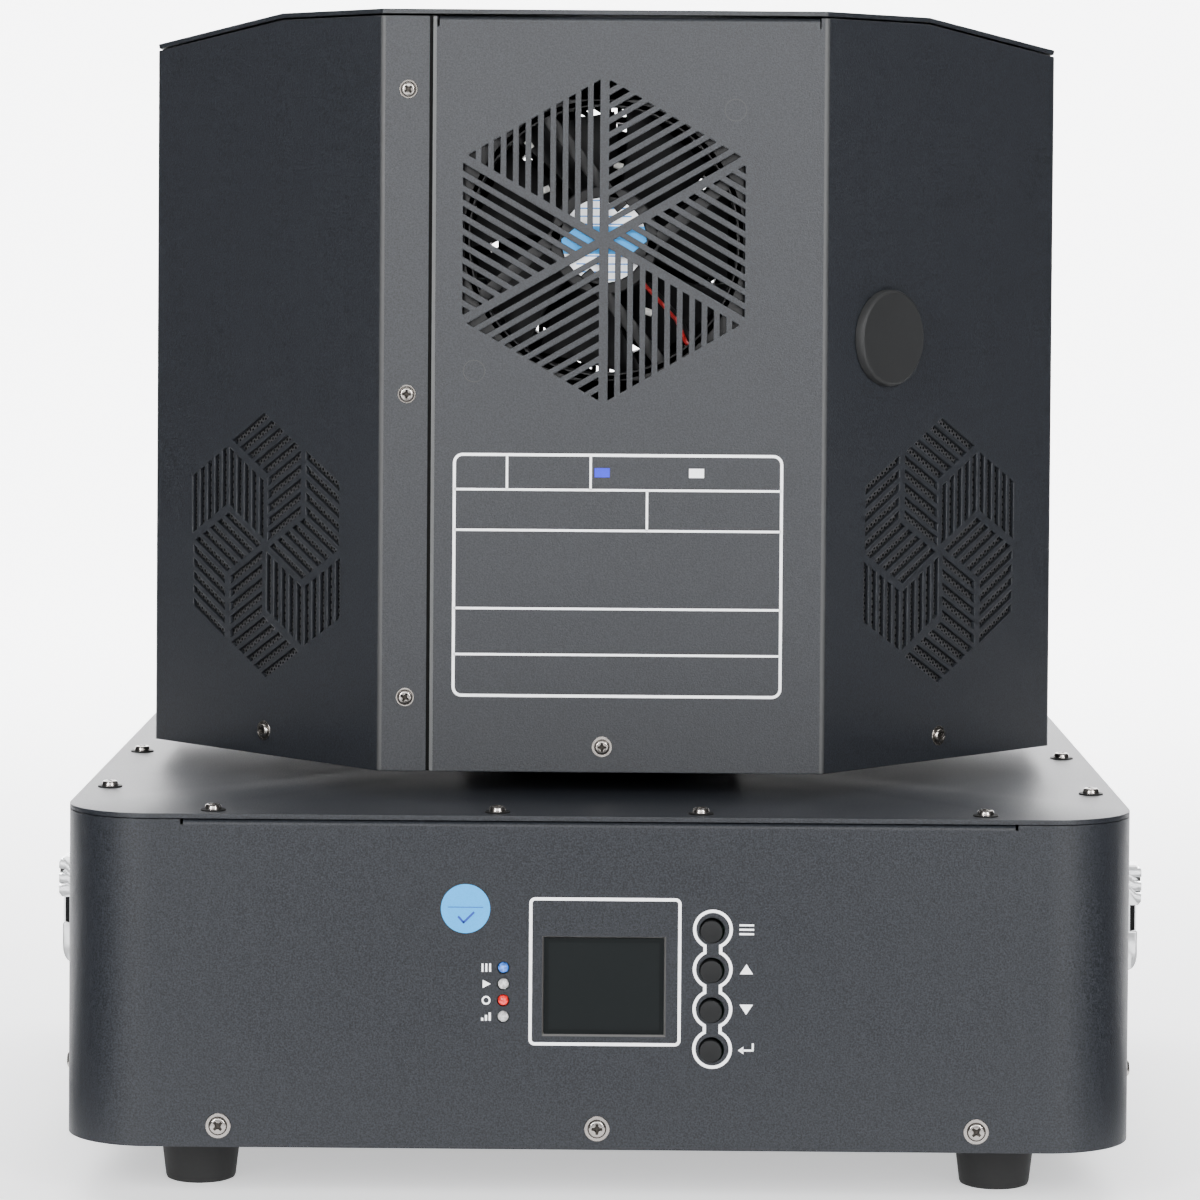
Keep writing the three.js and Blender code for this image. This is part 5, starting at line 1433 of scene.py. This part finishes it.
class SPARK_OT_head_screws(bpy.types.Operator):
    """Screws of the head shells, on the seam strips and along the lower edge"""

    bl_idname = "spark.head_screws"
    bl_label = "Head screws"

    def execute(self, context):
        steel = plated("head_screw_nickel", (0.4, 0.375, 0.35), 0.24)
        shade = recess("head", (0.05, 0.045, 0.04))
        coat = moulded("stud_coat", (0.022, 0.023, 0.024), 0.45, 0.8)
        piece = Piece()
        strip, low_edge = 3.05, 3.4
        facet = FACET_LENGTH / 2 / MM
        places = [(HEAD_FRONT, -64.2, z, z, strip) for z in (355.7, 256.0, 156.6)]
        places.append((HEAD_FRONT, 0.5, 140.7, 0, low_edge))
        places.append((FACET_RIGHT, facet, 140.4, 0.4, low_edge))
        places.append((FACET_LEFT, -facet, 140.4, 0.9, low_edge))
        for turn in BOTH_TURNS:
            for wall, x, z, twist, washer in places:
                part = screw_part(*mm(2.35, 0.95, washer, 0.3))
                piece.add(part, turn @ wall @ at(mm(x), mm(z), 0, twist), steel, shade)
            for x, z in mm((42.8, 349.6), (-42.2, 263.7)):
                piece.add(stud_ring(), turn @ HEAD_FRONT @ at(x, z), coat)
        piece.done("head_screws", "head")
        return {"FINISHED"}


class SPARK_OT_fans(bpy.types.Operator):
    """Fans behind the hexagonal grilles: frame with slanted struts and label, and rotor"""

    bl_idname = "spark.fans"
    bl_label = "Fans"

    def execute(self, context):
        black = moulded("fan_black", (0.006, 0.006, 0.0065), 0.55, 0.5, 0.3)
        label = fan_label("fan_label")
        red = moulded("wire_red", (0.4, 0.01, 0.01), 0.4)
        tie = moulded("wire_tie_white", (0.6, 0.6, 0.57), 0.5)
        low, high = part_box("fan_frame_front")
        centre = (low + high) / 2
        front = on_wall((0, -1, 0), (centre.x, low.y, centre.z))
        depth = (high.y - low.y) / MM
        for end, turn in zip(ENDS, BOTH_TURNS):
            self.frame(end, turn @ front, black, label, red, tie, depth)
            self.rotor(end, turn @ front, black)
        return {"FINISHED"}

    def frame(self, end, place, black, label, red, tie, depth):
        duct = circle_points(mm(FAN_DUCT), FINE_ROUND)
        spread = mm(-38.5, 38.5)
        spots = [(x, y) for x in spread for y in spread]
        bores = [circle_points(mm(2.2), 16, x, y) for x, y in spots]
        outline = rounded_points(*mm(FAN_HALF * 2, FAN_HALF * 2, 5))
        flange = 4
        piece = Piece()
        for top in (0, flange - depth):
            plate = plate_part(outline, mm(top - flange), mm(top), [duct, *bores], mm(0.4))
            piece.add(plate, place, black)
        ring = [(FAN_DUCT, -depth), (FAN_DUCT, 0), (FAN_HALF, 0), (FAN_HALF, -depth)]
        piece.add(turned_part(mm(*ring), FINE_ROUND, closed=True), place, black)
        hub = [(0, -4), (18, -4), (18, -0.6), (17.4, 0), (14.4, 0), (14.2, -0.5), (0, -0.5)]
        piece.add(turned_part(mm(*hub), ROUND), place, black)
        disc = mm((0, -0.3), (13.9, -0.3), (13.9, -0.5))
        piece.add(turned_part(disc, ROUND), place, label)
        for i in range(4):
            strut = block_part(mm(4, -13.4, -3), mm(43, -9, 0), mm(0.6))
            piece.add(strut, place @ at(0, 0, 0, math.radians(40 + 90 * i)), black)
        lead = [(13, -14, -3.5), (24, -26, -3.5), (27, -33, -5), (36, -43, -5)]
        for offset, finish in ((0, red), (1.6, black)):
            path = [mm(x + offset, y, z) for x, y, z in bent_points(lead, 4)]
            piece.add(wire_part(path, mm(0.7), 8), place, finish)
        ties = ((-24, 30, 0.6), (-18, 17, 2.0), (6, 24, 1.3), (16, -24, 1.2))
        for x, y, turn in ties:
            band = wire_part([(0, 0, 0), (0, mm(3), 0)], mm(1.1), 8)
            piece.add(band, place @ at(*mm(x, y, -5), turn), tie)
        piece.done(f"fan_{end}_frame", "head", [f"fan_frame_{end}"], "black_plastic")

    def rotor(self, end, place, black):
        hub = mm((0, -23), (17.5, -23), (17.5, -5), (16.9, -4.4), (0, -4.4))
        piece = Piece().add(turned_part(hub, ROUND), place, black)
        blades = 7
        for i in range(blades):
            piece.add(self.blade(), place @ at(0, 0, 0, i * 2 * math.pi / blades), black)
        piece.done(f"fan_{end}_rotor", f"rotor_{end}", [f"fan_rotor_{end}"], "black_plastic")

    def blade(self):
        """A curved blade: a bar across the hub radius, stretched out and twisted in steps."""
        part = bmesh.new()
        stations = 6
        face = part.faces.new([part.verts.new(corner) for corner in self.section(0)])
        for step in range(1, stations + 1):
            face = bmesh.ops.extrude_discrete_faces(part, faces=[face])["faces"][0]
            for corner, place in zip(face.verts, self.section(step / stations)):
                corner.co = place
        return face_out(part)

    def section(self, share):
        radius, chord, sweep = mm(17 + 24 * share, 18 + 21 * share, 6 * share * share)
        thick, level = mm(0.6, -13.7)
        pitch = math.radians(42 - 22 * share)
        cosine, sine = math.cos(pitch), math.sin(pitch)
        corners = []
        for u, v in ((-0.5, -1), (0, -1.9), (0.5, -1), (0.5, 1), (0, 0.1), (-0.5, 1)):
            along, up = u * chord, v * thick
            y, z = along * cosine - up * sine, along * sine + up * cosine
            corners.append((radius, y + sweep, z + level))
        return corners


class SPARK_OT_plugs(bpy.types.Operator):
    """Round filler plugs on two facets"""

    bl_idname = "spark.plugs"
    bl_label = "Filler plugs"

    def execute(self, context):
        black = moulded("plug_black", (0.011, 0.0115, 0.012), 0.62, 0.7, 0.35)
        along = 0.258 * FACET_LENGTH
        level = centre_of("filler_plug_front").z
        cup, stem, cap, top, gap = 10.4, 12.6, 16, 3.3, SEAT_GAP / MM
        profile = [(0, -2.2), (cup, -2.2), (cup, -9), (stem, -9), (stem, gap), (cap, gap)]
        profile += [(cap, top - 1.1), (cap - 0.35, top - 0.4), (cap - 1.1, top)]
        profile += [(cap - 2.2, top - 0.15), (0, top - 0.15)]
        for end, turn in zip(ENDS, BOTH_TURNS):
            part = turned_part(mm(*profile), FINE_ROUND)
            plug = Piece().add(part, turn @ FACET_RIGHT @ at(along, level), black)
            name = f"filler_plug_{end}"
            plug.done(f"{name}_cap", f"plug_{end}", [name], "black_plastic")
        return {"FINISHED"}


class SPARK_OT_nozzles(bpy.types.Operator):
    """Spark nozzles in the wings of the cover"""

    bl_idname = "spark.nozzles"
    bl_label = "Spark nozzles"

    def execute(self, context):
        steel = brushed("nozzle_steel", (0.46, 0.45, 0.44), 0.3)
        seat = -(COVER_THICKNESS + SEAT_GAP) / MM
        bore, flange, pipe, stand = 10, 19.8, 15, 0.6
        profile = [(bore, seat - 2.5), (flange, seat - 2.5), (flange, seat), (pipe, seat)]
        profile += [(pipe, stand - 0.3), (pipe - 0.3, stand), (12.8, stand)]
        profile += [(12.4, stand - 0.3), (bore, stand - 4)]
        for side, turn in zip(SIDES, BOTH_TURNS):
            part = turned_part(mm(*profile), FINE_ROUND, closed=True)
            nozzle = Piece().add(part, turn @ WING_RIGHT @ at(WING_LENGTH / 2, 0), steel)
            nozzle.done(f"nozzle_{side}", "head", [f"spark_nozzle_{side}"], "bare_steel")
        return {"FINISHED"}


class SPARK_OT_insides(bpy.types.Operator):
    """Finishes of the pieces inside the base and the head"""

    bl_idname = "spark.insides"
    bl_label = "Inside pieces"

    def execute(self, context):
        steel = brushed("inside_steel", (0.5, 0.5, 0.51), 0.38)
        dress(["power_supply", "motor_bracket", *both_sides("granule_hopper")], steel)
        gear = plated("gear_steel", (0.42, 0.42, 0.43), 0.3, mm(0.2))
        rings = ["ring_gear", "bearing_outer_ring", "bearing_inner_ring", "slip_ring_rotor"]
        dress([*rings, *both_sides("feed_screw")], gear)
        dress(["drive_pinion"], plated("pinion_brass", (0.72, 0.52, 0.24), 0.3, mm(0.2)))
        motor = moulded("motor_black", (0.02, 0.02, 0.022), 0.5)
        dress(["drive_motor", *both_sides("feed_motor"), "slip_ring_stator"], motor)
        dress(both_sides("heater_chamber"), heated_steel("chamber_steel"))
        return {"FINISHED"}


# Stage

# Black cloths: where, low corner, high corner
FLAGS = (
    ("low_right", (0.455, -0.42, 0.002), (0.465, 0.02, 0.07)),
    ("low_left", (-0.465, -0.42, 0.002), (-0.455, 0.02, 0.07)),
    ("right", (0.455, -0.42, 0.07), (0.465, 0.3, 0.9)),
    ("left", (-0.465, -0.42, 0.07), (-0.455, 0.3, 0.9)),
    ("floor_right", (0.23, -0.4, 0.001), (0.455, 0.02, 0.002)),
    ("floor_left", (-0.455, -0.4, 0.001), (-0.23, 0.02, 0.002)),
    ("front", (-0.225, -1.0, 0.001), (0.225, -0.34, 0.002)),
)

# Lamps: name, place, target, size, watts
LAMPS = (
    ("front_box", (0, -2.6, 1.2), (0, -0.1, 0.3), (1.9, 1.3), 34),
    ("left_strip", (-0.85, -1.5, 0.75), (0, 0, 0.2), (0.25, 0.9), 28),
    ("right_strip", (0.85, -1.5, 0.75), (0, 0, 0.2), (0.25, 0.9), 28),
    ("top_box", (0, 0.6, 2.6), (0, 0.4, 0), (3.0, 2.6), 85),
    ("back_box", (0, 1.2, 2.2), (0, 3.0, 0.8), (4.0, 1.2), 480),
)


class SPARK_OT_stage(bpy.types.Operator):
    """Pale floor with a curved backdrop, soft lights and the camera"""

    bl_idname = "spark.stage"
    bl_label = "Studio stage"

    def execute(self, context):
        settings = context.scene.spark_stage
        self.floor(settings)
        self.flags()
        self.lights(settings.light)
        self.camera(settings)
        return {"FINISHED"}

    def floor(self, settings):
        paper = studio_paper("studio_paper", settings.floor_colour, settings.floor_glow)
        front, back, width, bend, height = -3.5, 3.2, 7.0, 1.2, 5.0
        profile = [(front, 0), (back - bend, 0)]
        profile += arc_points(back - bend, bend, bend, -QUARTER, 0, settings.floor_steps)
        profile += [(back, height)]
        part = bmesh.new()
        corners = [part.verts.new((-width / 2, y, z)) for y, z in profile]
        pairs = [pair for pair in zip(corners, corners[1:]) if pair[0].co != pair[1].co]
        edges = [part.edges.new(pair) for pair in pairs]
        grown = bmesh.ops.extrude_edge_only(part, edges=edges)
        shift(part, corners_of(grown), x=width)
        bmesh.ops.remove_doubles(part, verts=part.verts[:], dist=1e-6)
        for face in face_out(part).faces:
            face.smooth = True
        link("studio_floor", as_mesh("studio_floor", part, [paper]))

    def flags(self):
        """Black cloths round the machine, seen only as dark reflections in its walls."""
        cloth = studio_paper("flag_cloth", (0.004, 0.004, 0.004))
        for where, low, high in FLAGS:
            name = f"flag_{where}"
            flag = link(name, as_mesh(name, block_part(low, high), [cloth]))
            flag.visible_camera = flag.visible_diffuse = flag.visible_shadow = False

    def lights(self, strength):
        for name, place, target, size, power in LAMPS:
            data = bpy.data.lights.new(name, "AREA")
            data.shape = "RECTANGLE"
            data.size, data.size_y = size
            data.energy = power * strength
            lamp = link(name, data)
            lamp.location = place
            direction = Vector(target) - Vector(place)
            lamp.rotation_euler = direction.to_track_quat("-Z", "Y").to_euler()
        world = bpy.data.worlds.new("studio_air")
        world.use_nodes = True
        entries = world.node_tree.nodes["Background"].inputs
        entries["Color"].default_value = (0.9, 0.92, 0.95, 1)
        entries["Strength"].default_value = 0.12 * strength
        bpy.context.scene.world = world

    def camera(self, settings):
        data = bpy.data.cameras.new("camera")
        data.sensor_width = 36
        data.lens = settings.lens
        data.shift_y = -0.218
        data.clip_start, data.clip_end = 0.05, 50
        # Directions of the picture's axes, fitted to the photograph
        right = Vector((0.9999599, 0.0053889, 0.0071521))
        up = Vector((-0.0072854, 0.0251373, 0.9996575))
        turned = Matrix((right, up, right.cross(up))).transposed().to_4x4()
        camera = link("camera", data)
        camera.matrix_world = Matrix.Translation(settings.camera_place) @ turned
        bpy.context.scene.camera = camera


PIECES = (
    SPARK_OT_feet,
    SPARK_OT_base_wall,
    SPARK_OT_base_lid,
    SPARK_OT_display,
    SPARK_OT_control_print,
    SPARK_OT_handles,
    SPARK_OT_sockets,
    SPARK_OT_column,
    SPARK_OT_base_screws,
    SPARK_OT_head_sheet,
    SPARK_OT_head_seams,
    SPARK_OT_head_cover,
    SPARK_OT_head_print,
    SPARK_OT_head_screws,
    SPARK_OT_fans,
    SPARK_OT_plugs,
    SPARK_OT_nozzles,
    SPARK_OT_insides,
    SPARK_OT_stage,
)

SETTINGS = {
    "spark_sheet": SparkSheetSettings,
    "spark_controls": SparkControlSettings,
    "spark_screws": SparkScrewSettings,
    "spark_stage": SparkStageSettings,
}


class SPARK_PT_panel(bpy.types.Panel):
    """Lists the pieces and the settings"""

    bl_idname = "SPARK_PT_panel"
    bl_label = "Spark machine"
    bl_space_type = "VIEW_3D"
    bl_region_type = "UI"
    bl_category = "Spark machine"

    def draw(self, context):
        layout = self.layout
        for name, group in SETTINGS.items():
            box = layout.box()
            for field in group.__annotations__:
                box.prop(getattr(context.scene, name), field)
        for operator in PIECES:
            layout.operator(operator.bl_idname)


def register():
    for item in (*SETTINGS.values(), *PIECES, SPARK_PT_panel):
        bpy.utils.register_class(item)
    for name, group in SETTINGS.items():
        setattr(bpy.types.Scene, name, PointerProperty(type=group))


def unregister():
    for name in SETTINGS:
        delattr(bpy.types.Scene, name)
    for item in reversed((*SETTINGS.values(), *PIECES, SPARK_PT_panel)):
        bpy.utils.unregister_class(item)


def main():
    register()
    for operator in PIECES:
        name = operator.bl_idname.split(".")[1]
        getattr(bpy.ops.spark, name)()


if __name__ == "__main__":
    main()
